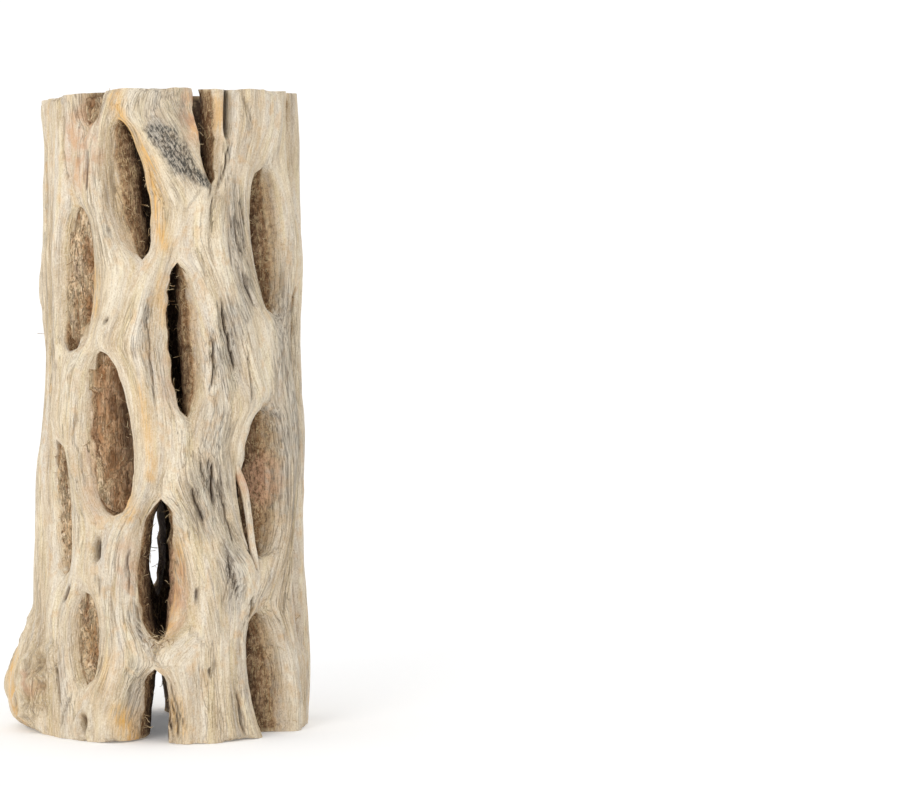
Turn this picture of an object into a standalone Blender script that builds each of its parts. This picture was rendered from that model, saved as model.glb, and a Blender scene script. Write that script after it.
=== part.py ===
"""Cholla cactus skeleton: a sawn length of the hollow, netted wood of a cholla cactus.

The wood grew as one piece, so it is one object. Its strands part round spindle-shaped windows and
close again above and below them. The model does the same: it starts as a flat sheet of wood, splits
slits into it along the grain, pushes them open, gives the sheet its thickness and rolls it up.
Dried pith still fills some of the windows, and is fused into the wood as lumps.

Metres, +Z up. The log stands on its lower saw cut, on the origin, and its front faces -Y. Angles
round the log are in degrees from the front, and they grow towards +X.
"""

import math
import random
from collections import namedtuple

import bmesh
import bpy
from mathutils import Vector, noise

MM = 0.001

# Driving dimensions
LENGTH = 152 * MM
RADIUS_AT_BOTTOM = 32.6 * MM
RADIUS_AT_TOP = 30.6 * MM
MEAN_RADIUS = (RADIUS_AT_BOTTOM + RADIUS_AT_TOP) / 2
CORE_RADIUS = 18 * MM
WALL = MEAN_RADIUS - CORE_RADIUS
RIM_CHAMFER = 0.8 * MM

# The upper saw cut falls away on the left, from just left of the middle
TOP_CUT_FALL = 0.09
TOP_CUT_FALL_STARTS = -8 * MM

# Relief of the weathered face, and of the core
RIM_DROP = 1.5 * MM
RIM_DROP_REACH = 3.2 * MM
FACE_SWELL = 0.9 * MM
FACE_SWELL_ROUND = 12 * MM
FACE_SWELL_ALONG = 30 * MM
CORE_SWELL = 0.8 * MM

# Stub of a side branch, low on the left
STUB_ANGLE = -84
STUB_HEIGHT = 8.5 * MM
STUB_RISE = 6.2 * MM
STUB_HALF_WIDTH = 19 * MM
STUB_HALF_HEIGHT = 22.5 * MM
STUB_UNDERCUT = 3.5 * MM

# The sheet's grid: columns run along the grain, rows across it
COLUMNS = 60
ROWS = 29
COLUMN_STEP = 2 * math.pi / COLUMNS
ROW_STEP = LENGTH / ROWS

# How far round the log a window pushes the strands beside it
LEAST_REACH = 9 * MM
REACH_PER_HALF_WIDTH = 3.0
LEAN_FADE = 12 * MM
LEAST_BRIDGE = 2 * MM
TIP_CROWDING = 0.45

# The dried pith in the filled windows
PITH_HALF_THICKNESS = 2.4 * MM
PITH_OVERLAP = 2.0 * MM
PITH_RECESS = 1.2 * MM
PITH_ROUGHNESS = 0.22
PITH_SEGMENTS = 8
PITH_RINGS = 6

# A window's tips are pointed where bluntness is near 1, and round where it is near 0.5.
# lean is positive where the top leans towards +X. pith is the depth of the fill below the wood's
# face, or None where the window is open into the core.
Window = namedtuple("Window", "name angle height half_length half_width lean bluntness pith")

FRONT_WINDOWS = (
    Window("upper_left", -14.2, 128.6 * MM, 16.4 * MM, 4.7 * MM, -11.0, 0.55, None),
    Window("middle", 9.8, 93.7 * MM, 18.0 * MM, 3.7 * MM, -4.0, 0.5, None),
    Window("left_large", -25.0, 72.0 * MM, 19.2 * MM, 6.7 * MM, -7.0, 0.45, 8.8 * MM),
    Window("through", -2.8, 40.3 * MM, 16.6 * MM, 4.9 * MM, 0.0, 0.5, None),
    Window("foot_notch", -5.5, -6.0 * MM, 23.4 * MM, 4.3 * MM, 5.0, 0.35, None),
    Window("right_upper", 57.0, 116.4 * MM, 17.4 * MM, 6.3 * MM, -7.0, 0.5, None),
    Window("right_middle", 50.0, 59.8 * MM, 17.6 * MM, 6.8 * MM, 0.0, 0.55, None),
    Window("right_lower", 52.5, 12.0 * MM, 17.7 * MM, 6.4 * MM, -12.0, 0.5, None),
    Window("left_upper", -43.0, 108.0 * MM, 17.2 * MM, 5.2 * MM, 0.0, 0.55, 4.6 * MM),
    Window("left_middle", -53.0, 54.0 * MM, 16.0 * MM, 3.7 * MM, -7.5, 0.6, 4.0 * MM),
    Window("left_lower", -37.0, 23.8 * MM, 11.0 * MM, 3.9 * MM, 0.0, 0.5, 4.2 * MM),
    Window("top_notch", 21.0, 152.0 * MM, 22.5 * MM, 3.2 * MM, -4.5, 0.5, None),
    Window("top_pocket", -35.0, 154.0 * MM, 10.0 * MM, 3.8 * MM, 0.0, 0.5, 3.8 * MM),
)

# Hollows worn into the face: the broad slope on the right of the window that shows through
Hollow = namedtuple("Hollow", "angle height half_width half_height depth")
HOLLOWS = (Hollow(8.5, 37.5 * MM, 6.5 * MM, 17.0 * MM, 3.4 * MM),)

# The far side repeats the net: staggered columns of windows, (angle, height of the lowest window)
BACK_COLUMNS = (
    (84.0, 38 * MM),
    (112.0, 12 * MM),
    (140.0, 40 * MM),
    (168.0, 20 * MM),
    (199.0, -6 * MM),
    (223.0, 22 * MM),
    (251.0, 48 * MM),
    (277.0, 81 * MM),
)
BACK_PITCH = 51 * MM
BACK_PITH_SHARE = 0.25
# A window of the far side that reaches the floor is a wide notch: light comes in under the log
BACK_NOTCH_WIDER = 1.6
BACK_NOTCH_TALLER = 1.5
SEED = 11


def back_windows():
    """The far side's windows, each a little off the rule, and some still filled."""
    draw = random.Random(SEED)
    windows = []
    for column, (angle, lowest) in enumerate(BACK_COLUMNS):
        height = lowest
        while height < LENGTH + 6 * MM:
            windows.append(
                Window(
                    f"back_{column}_{round(height / MM)}",
                    angle + draw.uniform(-2.5, 2.5),
                    height + draw.uniform(-2.5, 2.5) * MM,
                    draw.uniform(15.0, 18.0) * MM,
                    draw.uniform(4.0, 5.4) * MM,
                    draw.uniform(-4.0, 4.0),
                    draw.uniform(0.65, 0.9),
                    draw.uniform(4.0, 7.5) * MM if draw.random() < BACK_PITH_SHARE else None,
                )
            )
            height += BACK_PITCH
    return [wide_at_floor(window) for window in windows]


def wide_at_floor(window):
    if window.height > 0:
        return window
    return window._replace(
        half_length=window.half_length * BACK_NOTCH_TALLER,
        half_width=window.half_width * BACK_NOTCH_WIDER,
        bluntness=0.45,
        pith=None,
    )


def turned(angle):
    """The same angle, in radians, brought between minus and plus half a turn."""
    return (angle + math.pi) % (2 * math.pi) - math.pi


class Slit:
    """A window's slit in the flat sheet: it lies on one column of the grid, between two rows."""

    def __init__(self, window):
        self.window = window
        self.angle = math.radians(window.angle)
        self.column = round(turned(self.angle) / COLUMN_STEP)
        self.nudge = 0.0
        self.low = window.height - window.half_length
        self.high = window.height + window.half_length
        if self.low > LEAST_BRIDGE:
            self.low_row = max(1, round(self.low / ROW_STEP))
        else:
            self.low, self.low_row = min(self.low, -LEAST_BRIDGE), -1
        if self.high < LENGTH - LEAST_BRIDGE:
            self.high_row = min(ROWS - 1, round(self.high / ROW_STEP))
        else:
            self.high, self.high_row = max(self.high, LENGTH + LEAST_BRIDGE), ROWS + 1
        self.reach = max(LEAST_REACH, REACH_PER_HALF_WIDTH * window.half_width) / MEAN_RADIUS

    def half_gap(self, height):
        """Half the width of the open window at a height, as an angle."""
        rise = height - self.window.height
        along = rise / (self.high - self.window.height if rise > 0 else self.low - self.window.height)
        if along >= 1:
            return 0.0
        return self.window.half_width / MEAN_RADIUS * (1 - along * along) ** self.window.bluntness

    def bank_height(self, row):
        """The height of a row where it meets this window: rows crowd towards its tips."""
        height = row * ROW_STEP
        for tip, tip_row, inward in ((self.low, self.low_row, 1), (self.high, self.high_row, -1)):
            if 0 < tip_row < ROWS and row == tip_row + inward:
                height += (tip - height) * TIP_CROWDING
        return height

    def centre(self, height):
        """The angle of the window's centre line at a height: it leans."""
        rise = max(self.low, min(self.high, height)) - self.window.height
        return self.angle + math.tan(math.radians(self.window.lean)) * rise / MEAN_RADIUS

    def shift(self, angle, height, bank=0):
        """How far this window moves a strand round the log. bank is -1 or 1 on its own two banks."""
        away = turned(angle - self.column * COLUMN_STEP)
        fade = 1 - abs(away) / self.reach
        if fade <= 0:
            return 0.0
        beyond = max(0.0, self.low - height, height - self.high)
        lean = (self.nudge + self.centre(height) - self.angle) * max(0.0, 1 - beyond / LEAN_FADE)
        side = bank or (away > 0) - (away < 0)
        return fade * (lean + side * self.half_gap(height))


def cut_slits(windows):
    """A slit for each window, nudged off its column so that the window opens at its true angle."""
    slits = [Slit(window) for window in windows]
    for _ in range(12):
        for slit in slits:
            at = slit.column * COLUMN_STEP
            height = min(LENGTH, max(0.0, slit.window.height))
            others = sum(other.shift(at, height) for other in slits if other is not slit)
            slit.nudge = turned(slit.angle - at - others)
    return slits


def split_sheet(slits):
    """The flat sheet, cut along every slit. X counts columns and Z counts rows.

    Each bank of a slit remembers its slit's number, positive on the bank towards +X.
    """
    bm = bmesh.new()
    bmesh.ops.create_grid(bm, x_segments=COLUMNS, y_segments=ROWS, size=0.5)
    for v in bm.verts:
        v.co = Vector((round(v.co.x * COLUMNS), 0, round((v.co.y + 0.5) * ROWS)))
    owner = bm.verts.layers.int.new("owner")
    for number, slit in enumerate(slits, start=1):
        low, high = max(0, slit.low_row), min(ROWS, slit.high_row)
        on_slit = {v for v in bm.verts if v.co.x == slit.column and low <= v.co.z <= high}
        bmesh.ops.split_edges(bm, edges=[e for e in bm.edges if on_slit.issuperset(e.verts)])
        for v in bm.verts:
            if v.co.x == slit.column and slit.low_row < v.co.z < slit.high_row and not v[owner]:
                middle = sum(f.calc_center_median().x for f in v.link_faces) / len(v.link_faces)
                if middle != v.co.x:
                    v[owner] = number if middle > v.co.x else -number
    return bm


def thicken(bm):
    """Gives the sheet its second face, at Y = 1, and the walls between the two."""
    made = bmesh.ops.extrude_face_region(bm, geom=bm.faces[:])
    for v in made["geom"]:
        if isinstance(v, bmesh.types.BMVert):
            v.co.y = 1
    edge = COLUMNS / 2
    seam = [f for f in bm.faces if all(abs(v.co.x) == edge for v in f.verts)]
    bmesh.ops.delete(bm, geom=seam, context="FACES")


def open_slits(bm, slits):
    """Pushes the slits open. X becomes an arc length on the log, Z a height, Y a depth."""
    owner = bm.verts.layers.int["owner"]
    tips = {(slit.column, slit.low_row): slit.low for slit in slits}
    tips.update({(slit.column, slit.high_row): slit.high for slit in slits})
    for v in bm.verts:
        row = round(v.co.z)
        angle, height = v.co.x * COLUMN_STEP, row * ROW_STEP
        own, bank = abs(v[owner]) - 1, (v[owner] > 0) - (v[owner] < 0)
        if bank:
            height = slits[own].bank_height(row)
        elif 0 < row < ROWS:
            height = tips.get((round(v.co.x), row), height)
        shift = sum(slit.shift(angle, height, bank if n == own else 0) for n, slit in enumerate(slits))
        v.co = Vector(((angle + shift) * MEAN_RADIUS, v.co.y * WALL, height))


def face_radius(angle, height, slits):
    """The radius of the weathered face: it tapers, swells, bulges at the stub and drops to each rim."""
    share = height / LENGTH
    radius = RADIUS_AT_BOTTOM + (RADIUS_AT_TOP - RADIUS_AT_BOTTOM) * share
    across = MEAN_RADIUS / FACE_SWELL_ROUND
    spot = Vector((math.cos(angle) * across, math.sin(angle) * across, height / FACE_SWELL_ALONG))
    radius += FACE_SWELL * noise.noise(spot)
    away = turned(angle - math.radians(STUB_ANGLE)) * MEAN_RADIUS / STUB_HALF_WIDTH
    rise = (height - STUB_HEIGHT) / STUB_HALF_HEIGHT
    stub = max(0.0, 1 - away * away - rise * rise) ** 2
    undercut = max(0.0, 1 - height / STUB_UNDERCUT) ** 2
    radius += stub * (STUB_RISE - undercut * STUB_UNDERCUT)
    for hollow in HOLLOWS:
        away = turned(angle - math.radians(hollow.angle)) * MEAN_RADIUS / hollow.half_width
        rise = (height - hollow.height) / hollow.half_height
        radius -= hollow.depth * max(0.0, 1 - away * away - rise * rise)
    for slit in slits:
        beside = abs(turned(angle - slit.centre(height))) - slit.half_gap(height)
        above = max(slit.low - height, height - slit.high)
        distance = math.hypot(max(0.0, beside) * MEAN_RADIUS, max(0.0, above))
        depth = RIM_DROP * min(1.0, slit.window.half_width / (4 * MM))
        radius -= depth * math.exp(-((distance / RIM_DROP_REACH) ** 2))
    return radius


def core_radius(angle, height):
    """The radius of the hollow core."""
    spot = Vector((math.cos(angle) * 1.5, math.sin(angle) * 1.5, height / FACE_SWELL_ALONG + 7))
    return CORE_RADIUS + CORE_SWELL * noise.noise(spot)


def on_log(angle, radius, height):
    """The point at an angle, a radius and a height, with the upper cut's fall worked in."""
    x, y = radius * math.sin(angle), -radius * math.cos(angle)
    fall = TOP_CUT_FALL * min(0.0, x - TOP_CUT_FALL_STARTS) * (height / LENGTH) ** 4
    return Vector((x, y, height + fall))


def chamfer_rims(bm):
    """Breaks the edge between the weathered face and the walls of the windows and the saw cuts."""
    rims = [
        e
        for e in bm.edges
        if len(e.link_faces) == 2
        and all(abs(v.co.y) < 1e-7 for v in e.verts)
        and min(abs(f.normal.y) for f in e.link_faces) < 0.5
    ]
    bmesh.ops.bevel(bm, geom=rims, offset=RIM_CHAMFER, segments=1, affect="EDGES", clamp_overlap=False)


def roll_up(bm, slits):
    """Rolls the thick sheet into the log, and joins its two side edges."""
    for v in bm.verts:
        angle = v.co.x / MEAN_RADIUS
        outer = face_radius(angle, v.co.z, slits)
        radius = outer + (core_radius(angle, v.co.z) - outer) * v.co.y / WALL
        v.co = on_log(angle, radius, v.co.z)
    bmesh.ops.remove_doubles(bm, verts=bm.verts[:], dist=0.01 * MM)
    bmesh.ops.recalc_face_normals(bm, faces=bm.faces[:])


def pith_lumps(slits):
    """A rough, flattened lump of dried pith for each filled window, grown into both its banks."""
    bm = bmesh.new()
    for slit in slits:
        window = slit.window
        if window.pith is None:
            continue
        made = bmesh.ops.create_uvsphere(bm, u_segments=PITH_SEGMENTS, v_segments=PITH_RINGS, radius=1)
        for v in made["verts"]:
            rough = 1 + PITH_ROUGHNESS * noise.noise(v.co * 2.5 + Vector((slit.angle, window.height / MM, 0)))
            height = window.height + v.co.z * (window.half_length + PITH_OVERLAP)
            angle = slit.centre(height) + v.co.x * rough * (window.half_width + PITH_OVERLAP) / MEAN_RADIUS
            depth = window.pith + PITH_HALF_THICKNESS * (1 + v.co.y * rough)
            radius = RADIUS_AT_BOTTOM + (RADIUS_AT_TOP - RADIUS_AT_BOTTOM) * height / LENGTH - depth
            v.co = Vector((angle, radius, height))
    for end, outward in ((PITH_RECESS, -1), (LENGTH - PITH_RECESS, 1)):
        trimmed = bmesh.ops.bisect_plane(
            bm,
            geom=bm.verts[:] + bm.edges[:] + bm.faces[:],
            plane_co=(0, 0, end),
            plane_no=(0, 0, outward),
            clear_outer=True,
        )
        cut = [edge for edge in trimmed["geom_cut"] if isinstance(edge, bmesh.types.BMEdge)]
        bmesh.ops.holes_fill(bm, edges=cut)
    for v in bm.verts:
        v.co = on_log(*v.co)
    return bm


def add_object(name, bm, collection):
    """Puts a finished bmesh into a collection as an object."""
    mesh = bpy.data.meshes.new(name)
    bm.to_mesh(mesh)
    bm.free()
    made = bpy.data.objects.new(name, mesh)
    collection.objects.link(made)
    return made


def fuse(target, tool):
    """Unites a second object with the target for good, and hides what is left of it."""
    union = target.modifiers.new("grown_in_pith", "BOOLEAN")
    union.operation = "UNION"
    union.solver = "EXACT"
    union.object = tool
    tool.hide_render = True
    tool.display_type = "WIRE"


def wood_material():
    wood = bpy.data.materials.new("weathered_wood")
    wood.use_nodes = True
    shader = wood.node_tree.nodes["Principled BSDF"]
    shader.inputs["Base Color"].default_value = (0.72, 0.61, 0.44, 1)
    shader.inputs["Roughness"].default_value = 0.85
    return wood


def centre_on_foot(bm, *others):
    """Moves the log sideways until the box round it is centred on the origin."""
    xs, ys = [v.co.x for v in bm.verts], [v.co.y for v in bm.verts]
    shift = Vector((-(min(xs) + max(xs)) / 2, -(min(ys) + max(ys)) / 2, 0))
    for each in (bm, *others):
        bmesh.ops.translate(each, vec=shift, verts=each.verts[:])


def main():
    for old in list(bpy.data.objects):
        bpy.data.objects.remove(old)
    part = bpy.data.collections.new("cholla_cactus_skeleton")
    helpers = bpy.data.collections.new("helpers")
    for collection in (part, helpers):
        bpy.context.scene.collection.children.link(collection)

    slits = cut_slits(list(FRONT_WINDOWS) + back_windows())
    wood = split_sheet(slits)
    thicken(wood)
    open_slits(wood, slits)
    chamfer_rims(wood)
    roll_up(wood, slits)
    pith = pith_lumps(slits)
    centre_on_foot(wood, pith)

    log = add_object("cholla_skeleton", wood, part)
    log.data.materials.append(wood_material())
    fuse(log, add_object("pith_lumps", pith, helpers))


main()
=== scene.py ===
# %% [markdown]
# # A sawn length of cholla wood
# When a cholla cactus dies its flesh rots away, and a hollow tube of wood is left: strands that part
# round spindle-shaped windows and close again above and below them. This lesson dresses the plain
# solid of such a log in its weathered wood, its dried pith and its loose fibres.
#
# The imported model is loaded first. It is the fixed frame that everything else is fitted to, so its
# box is kept, to compare with the finished log at the end.

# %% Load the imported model
import math
import random
from collections import namedtuple

import bmesh
import bpy
import numpy as np
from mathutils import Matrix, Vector, noise


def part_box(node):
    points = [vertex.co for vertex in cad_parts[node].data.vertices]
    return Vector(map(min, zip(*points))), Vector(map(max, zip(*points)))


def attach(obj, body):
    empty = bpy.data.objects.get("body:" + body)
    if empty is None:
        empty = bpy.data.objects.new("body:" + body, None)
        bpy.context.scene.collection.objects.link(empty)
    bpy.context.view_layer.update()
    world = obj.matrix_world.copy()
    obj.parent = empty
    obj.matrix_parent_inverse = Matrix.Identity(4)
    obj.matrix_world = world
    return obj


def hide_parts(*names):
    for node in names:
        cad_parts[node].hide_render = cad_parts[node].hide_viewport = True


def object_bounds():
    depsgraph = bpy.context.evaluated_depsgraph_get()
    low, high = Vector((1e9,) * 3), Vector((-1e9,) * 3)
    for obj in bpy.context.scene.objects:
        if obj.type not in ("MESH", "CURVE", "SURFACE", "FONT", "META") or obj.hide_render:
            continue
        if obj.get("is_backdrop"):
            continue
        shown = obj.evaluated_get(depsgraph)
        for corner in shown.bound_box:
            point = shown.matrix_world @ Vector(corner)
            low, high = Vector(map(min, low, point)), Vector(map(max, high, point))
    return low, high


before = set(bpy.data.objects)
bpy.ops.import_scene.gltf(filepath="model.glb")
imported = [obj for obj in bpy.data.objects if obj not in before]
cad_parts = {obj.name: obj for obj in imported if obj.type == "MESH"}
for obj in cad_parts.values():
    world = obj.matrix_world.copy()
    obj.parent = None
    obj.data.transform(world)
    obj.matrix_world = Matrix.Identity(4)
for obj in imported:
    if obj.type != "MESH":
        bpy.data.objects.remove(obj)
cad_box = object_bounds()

MM = 0.001
foot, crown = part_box("cholla_skeleton")
LENGTH = crown.z - foot.z
print(f"The log is {LENGTH / MM:.0f} mm long and {(crown.x - foot.x) / MM:.1f} mm wide")


def new_object(name, data):
    """An object in the scene that holds a mesh, a light or a camera."""
    made = bpy.data.objects.new(name, data)
    bpy.context.scene.collection.objects.link(made)
    return made


# %% [markdown]
# ## The log's own sizes
# The wood is a tube. It tapers a little upwards, and the stub of a side branch bulges low on its
# left, so the tube's own axis stands a little to the right of the middle of the box. These are the
# solid's own values: the fine wood has to follow the same form.

# %% Sizes of the tube
RADIUS_AT_BOTTOM = 32.6 * MM
RADIUS_AT_TOP = 30.6 * MM
MEAN_RADIUS = (RADIUS_AT_BOTTOM + RADIUS_AT_TOP) / 2
CORE_RADIUS = 18 * MM
AXIS = Vector((2.97 * MM, -0.10 * MM, 0))

# The upper saw cut falls away on the left
TOP_CUT_FALL = 0.09
TOP_CUT_FALL_STARTS = -8 * MM

Stub = namedtuple("Stub", "angle height rise half_width half_height undercut")
STUB = Stub(-84, 8.5 * MM, 6.2 * MM, 19 * MM, 22.5 * MM, 3.5 * MM)
print(f"The wall is {(MEAN_RADIUS - CORE_RADIUS) / MM:.1f} mm thick")

# %% [markdown]
# ## The windows
# Angles run round the log in degrees from the front, and grow towards +X. A window's tips are
# pointed where its bluntness is near 1 and round where it is near 0.5, and its top leans to the
# right where lean is positive. Pith is how deep the dried fill lies, or None where the window is
# open. The far side can't be seen in a photograph, so a rule with a fixed seed staggers it.

# %% The windows of the front
Window = namedtuple("Window", "name angle height half_length half_width lean bluntness pith")

FRONT_WINDOWS = (
    Window("upper_left", -14.2, 128.6 * MM, 16.4 * MM, 4.7 * MM, -11.0, 0.55, None),
    Window("middle", 9.8, 93.7 * MM, 18.0 * MM, 3.7 * MM, -4.0, 0.5, None),
    Window("left_large", -25.0, 72.0 * MM, 19.2 * MM, 6.7 * MM, -7.0, 0.45, 8.8 * MM),
    Window("through", -2.8, 40.3 * MM, 16.6 * MM, 4.9 * MM, 0.0, 0.5, None),
    Window("foot_notch", -5.5, -6.0 * MM, 23.4 * MM, 4.3 * MM, 5.0, 0.35, None),
    Window("right_upper", 57.0, 116.4 * MM, 17.4 * MM, 6.3 * MM, -7.0, 0.5, None),
    Window("right_middle", 50.0, 59.8 * MM, 17.6 * MM, 6.8 * MM, 0.0, 0.55, None),
    Window("right_lower", 52.5, 12.0 * MM, 17.7 * MM, 6.4 * MM, -12.0, 0.5, None),
    Window("left_upper", -43.0, 108.0 * MM, 17.2 * MM, 5.2 * MM, 0.0, 0.55, 4.6 * MM),
    Window("left_middle", -53.0, 54.0 * MM, 16.0 * MM, 3.7 * MM, -7.5, 0.6, 4.0 * MM),
    Window("left_lower", -37.0, 23.8 * MM, 11.0 * MM, 3.9 * MM, 0.0, 0.5, 4.2 * MM),
    Window("top_notch", 21.0, 152.0 * MM, 22.5 * MM, 3.2 * MM, -4.5, 0.5, None),
    Window("top_pocket", -35.0, 154.0 * MM, 10.0 * MM, 3.8 * MM, 0.0, 0.5, 3.8 * MM),
)
print(f"{sum(window.pith is not None for window in FRONT_WINDOWS)} windows of the front keep their pith")

# %% The windows of the far side
# Each column of windows: its angle, and the height of its lowest window
BACK_COLUMNS = (
    (84.0, 38 * MM),
    (112.0, 12 * MM),
    (140.0, 40 * MM),
    (168.0, 20 * MM),
    (199.0, -6 * MM),
    (223.0, 22 * MM),
    (251.0, 48 * MM),
    (277.0, 81 * MM),
)
print(f"{len(BACK_COLUMNS)} columns of windows behind")

# %% Stagger the windows of the far side
BACK_PITCH = 51 * MM
BACK_PITH_SHARE = 0.25
# A window of the far side that reaches the floor is a wide notch: light comes in under the log
BACK_NOTCH_WIDER = 1.6
BACK_NOTCH_TALLER = 1.5
SEED = 11


def back_windows():
    draw = random.Random(SEED)
    windows = []
    for column, (angle, lowest) in enumerate(BACK_COLUMNS):
        height = lowest
        while height < LENGTH + 6 * MM:
            windows.append(
                Window(
                    f"back_{column}_{round(height / MM)}",
                    angle + draw.uniform(-2.5, 2.5),
                    height + draw.uniform(-2.5, 2.5) * MM,
                    draw.uniform(15.0, 18.0) * MM,
                    draw.uniform(4.0, 5.4) * MM,
                    draw.uniform(-4.0, 4.0),
                    draw.uniform(0.65, 0.9),
                    draw.uniform(4.0, 7.5) * MM if draw.random() < BACK_PITH_SHARE else None,
                )
            )
            height += BACK_PITCH
    return [wide_at_floor(window) for window in windows]


def wide_at_floor(window):
    if window.height > 0:
        return window
    return window._replace(
        half_length=window.half_length * BACK_NOTCH_TALLER,
        half_width=window.half_width * BACK_NOTCH_WIDER,
        bluntness=0.45,
        pith=None,
    )


windows = list(FRONT_WINDOWS) + back_windows()
print(f"{len(FRONT_WINDOWS)} windows at the front, {len(windows) - len(FRONT_WINDOWS)} behind")

# %% [markdown]
# ## The sheet of fibres
# Cutting windows out of a tube would cut through the grain, and real strands are never cut: they
# bend round each window. So the wood starts as a flat sheet of fibres. Its grid has columns along
# the grain and rows across it. Every window is a slit on one column, and the slit is pushed open,
# which bends the fibres beside it. The grid is nine times finer round the log than the solid's, and
# four times finer along it, so that the relief of the fibres has points to live on.

# %% The grid
COLUMNS, ROWS = 60, 29
FINER_ROUND, FINER_ALONG = 9, 4
FIBRE_COLUMNS, FIBRE_ROWS = COLUMNS * FINER_ROUND, ROWS * FINER_ALONG
COLUMN_STEP = 2 * math.pi / COLUMNS
FIBRE_STEP = 2 * math.pi / FIBRE_COLUMNS
ROW_STEP = LENGTH / FIBRE_ROWS
print(f"A cell of the grid is {FIBRE_STEP * MEAN_RADIUS / MM:.2f} by {ROW_STEP / MM:.2f} mm")

# %% [markdown]
# ## Opening a slit
# A slit moves each strand by its half width, fading out round the log. Its two banks move furthest.
# A strand that runs further off feels the window more gently and over a longer stretch, so its
# bend is smoothed along the grain. The real rims are ragged, so each bank also wanders a little.

# %% How a slit moves the strands
LEAST_REACH = 9 * MM
REACH_PER_HALF_WIDTH = 3.0
LEAN_FADE = 12 * MM
LEAST_BRIDGE = 2 * MM
SMOOTHED_OVER = 14 * MM
RAGGED = 0.6 * MM
RAGGED_EVERY = 2.6 * MM
SETTLING_PASSES = 12
SMOOTHING = ((-1, 1 / 9), (-0.5, 2 / 9), (0, 3 / 9), (0.5, 2 / 9), (1, 1 / 9))


def turned(angle):
    """The same angle, in radians, brought between minus and plus half a turn."""
    return (angle + math.pi) % (2 * math.pi) - math.pi


print(f"A bank wanders by up to {RAGGED / MM:.1f} mm, every {RAGGED_EVERY / MM:.1f} mm")


# %% A slit
class Slit:
    """A window's slit in the sheet. It lies on one column of the grid, between two rows."""

    def __init__(self, window):
        self.window = window
        self.angle = math.radians(window.angle)
        self.column = round(turned(self.angle) / COLUMN_STEP)
        self.at = self.column * COLUMN_STEP
        self.nudge = 0.0
        self.low = window.height - window.half_length
        self.high = window.height + window.half_length
        self.low_row = max(1, round(self.low / ROW_STEP))
        self.high_row = min(FIBRE_ROWS - 1, round(self.high / ROW_STEP))
        if self.low <= LEAST_BRIDGE:
            self.low, self.low_row = min(self.low, -LEAST_BRIDGE), -1
        if self.high >= LENGTH - LEAST_BRIDGE:
            self.high, self.high_row = max(self.high, LENGTH + LEAST_BRIDGE), FIBRE_ROWS + 1
        self.reach = max(LEAST_REACH, REACH_PER_HALF_WIDTH * window.half_width) / MEAN_RADIUS
        self.heights = np.arange(-2, LENGTH / MM + 3) * MM
        self.wander = {
            side: [noise.noise(Vector((z / RAGGED_EVERY, self.angle * 9, side * 5))) for z in self.heights]
            for side in (-1, 1)
        }

    def half_gap(self, height):
        """Half the width of the open window at a height, as an angle."""
        rise = height - self.window.height
        along = rise / np.where(rise > 0, self.high - self.window.height, self.low - self.window.height)
        return self.window.half_width / MEAN_RADIUS * np.clip(1 - along**2, 0, None) ** self.window.bluntness

    def centre(self, height):
        """The angle of the window's centre line at a height: it leans."""
        rise = np.clip(height, self.low, self.high) - self.window.height
        return self.angle + math.tan(math.radians(self.window.lean)) * rise / MEAN_RADIUS

    def shift(self, angle, height, bank=0):
        """How far this slit moves a strand round the log. bank is -1 or 1 on its own two banks."""
        away = turned(angle - self.at)
        fade = np.clip(1 - abs(away) / self.reach, 0, None)
        beyond = np.maximum(0, np.maximum(self.low - height, height - self.high))
        ease = np.clip(1 - beyond / LEAN_FADE, 0, None)
        lean = (self.nudge + self.centre(height) - self.angle) * ease * ease * (3 - 2 * ease)
        side = np.where(bank == 0, np.sign(away), bank)
        blur = (1 - fade) * SMOOTHED_OVER
        gap = sum(share * self.half_gap(height + step * blur) for step, share in SMOOTHING)
        wander = np.where(
            side > 0,
            np.interp(height, self.heights, self.wander[1]),
            np.interp(height, self.heights, self.wander[-1]),
        )
        ragged = wander * RAGGED / MEAN_RADIUS * np.clip(gap * MEAN_RADIUS / (2 * MM), 0, 1)
        return fade * (lean + side * (gap + ragged * fade**4))


print(f"A slit moves the strands up to {REACH_PER_HALF_WIDTH:.0f} of its half widths away")


# %% Set the slits so that each window opens at its true angle
slits = [Slit(window) for window in windows]
for _ in range(SETTLING_PASSES):
    for slit in slits:
        height = min(LENGTH, max(0.0, slit.window.height))
        others = sum(other.shift(slit.at, height) for other in slits if other is not slit)
        slit.nudge = turned(slit.angle - slit.at - float(others))
furthest = max(abs(slit.nudge) for slit in slits) * MEAN_RADIUS
print(f"The furthest a window lies from its column is {furthest / MM:.1f} mm")

# %% [markdown]
# ## Numbering the points
# A point on an open slit exists twice, once for each bank. Two tables say which point the cells to
# the right and to the left of it use, and they are the same everywhere but on a slit. Numpy arrays
# hold all points at once, which is far quicker in Python than one vertex at a time.

# %% Points of the outer face
rightward = np.arange(FIBRE_COLUMNS * (FIBRE_ROWS + 1)).reshape(FIBRE_COLUMNS, FIBRE_ROWS + 1)
leftward = rightward.copy()
column_of = list(np.repeat(np.arange(FIBRE_COLUMNS), FIBRE_ROWS + 1))
row_of = list(np.tile(np.arange(FIBRE_ROWS + 1), FIBRE_COLUMNS))
bank_of, owner_of = [0] * len(row_of), [-1] * len(row_of)
rows_open = {}
for number, slit in enumerate(slits):
    column = slit.column * FINER_ROUND % FIBRE_COLUMNS
    rows = range(max(0, slit.low_row + 1), min(FIBRE_ROWS, slit.high_row - 1) + 1)
    rows_open[number] = (column, rows)
    for row in rows:
        bank_of[rightward[column, row]], owner_of[rightward[column, row]] = 1, number
        leftward[column, row] = len(row_of)
        column_of.append(column)
        row_of.append(row)
        bank_of.append(-1)
        owner_of.append(number)
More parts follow.
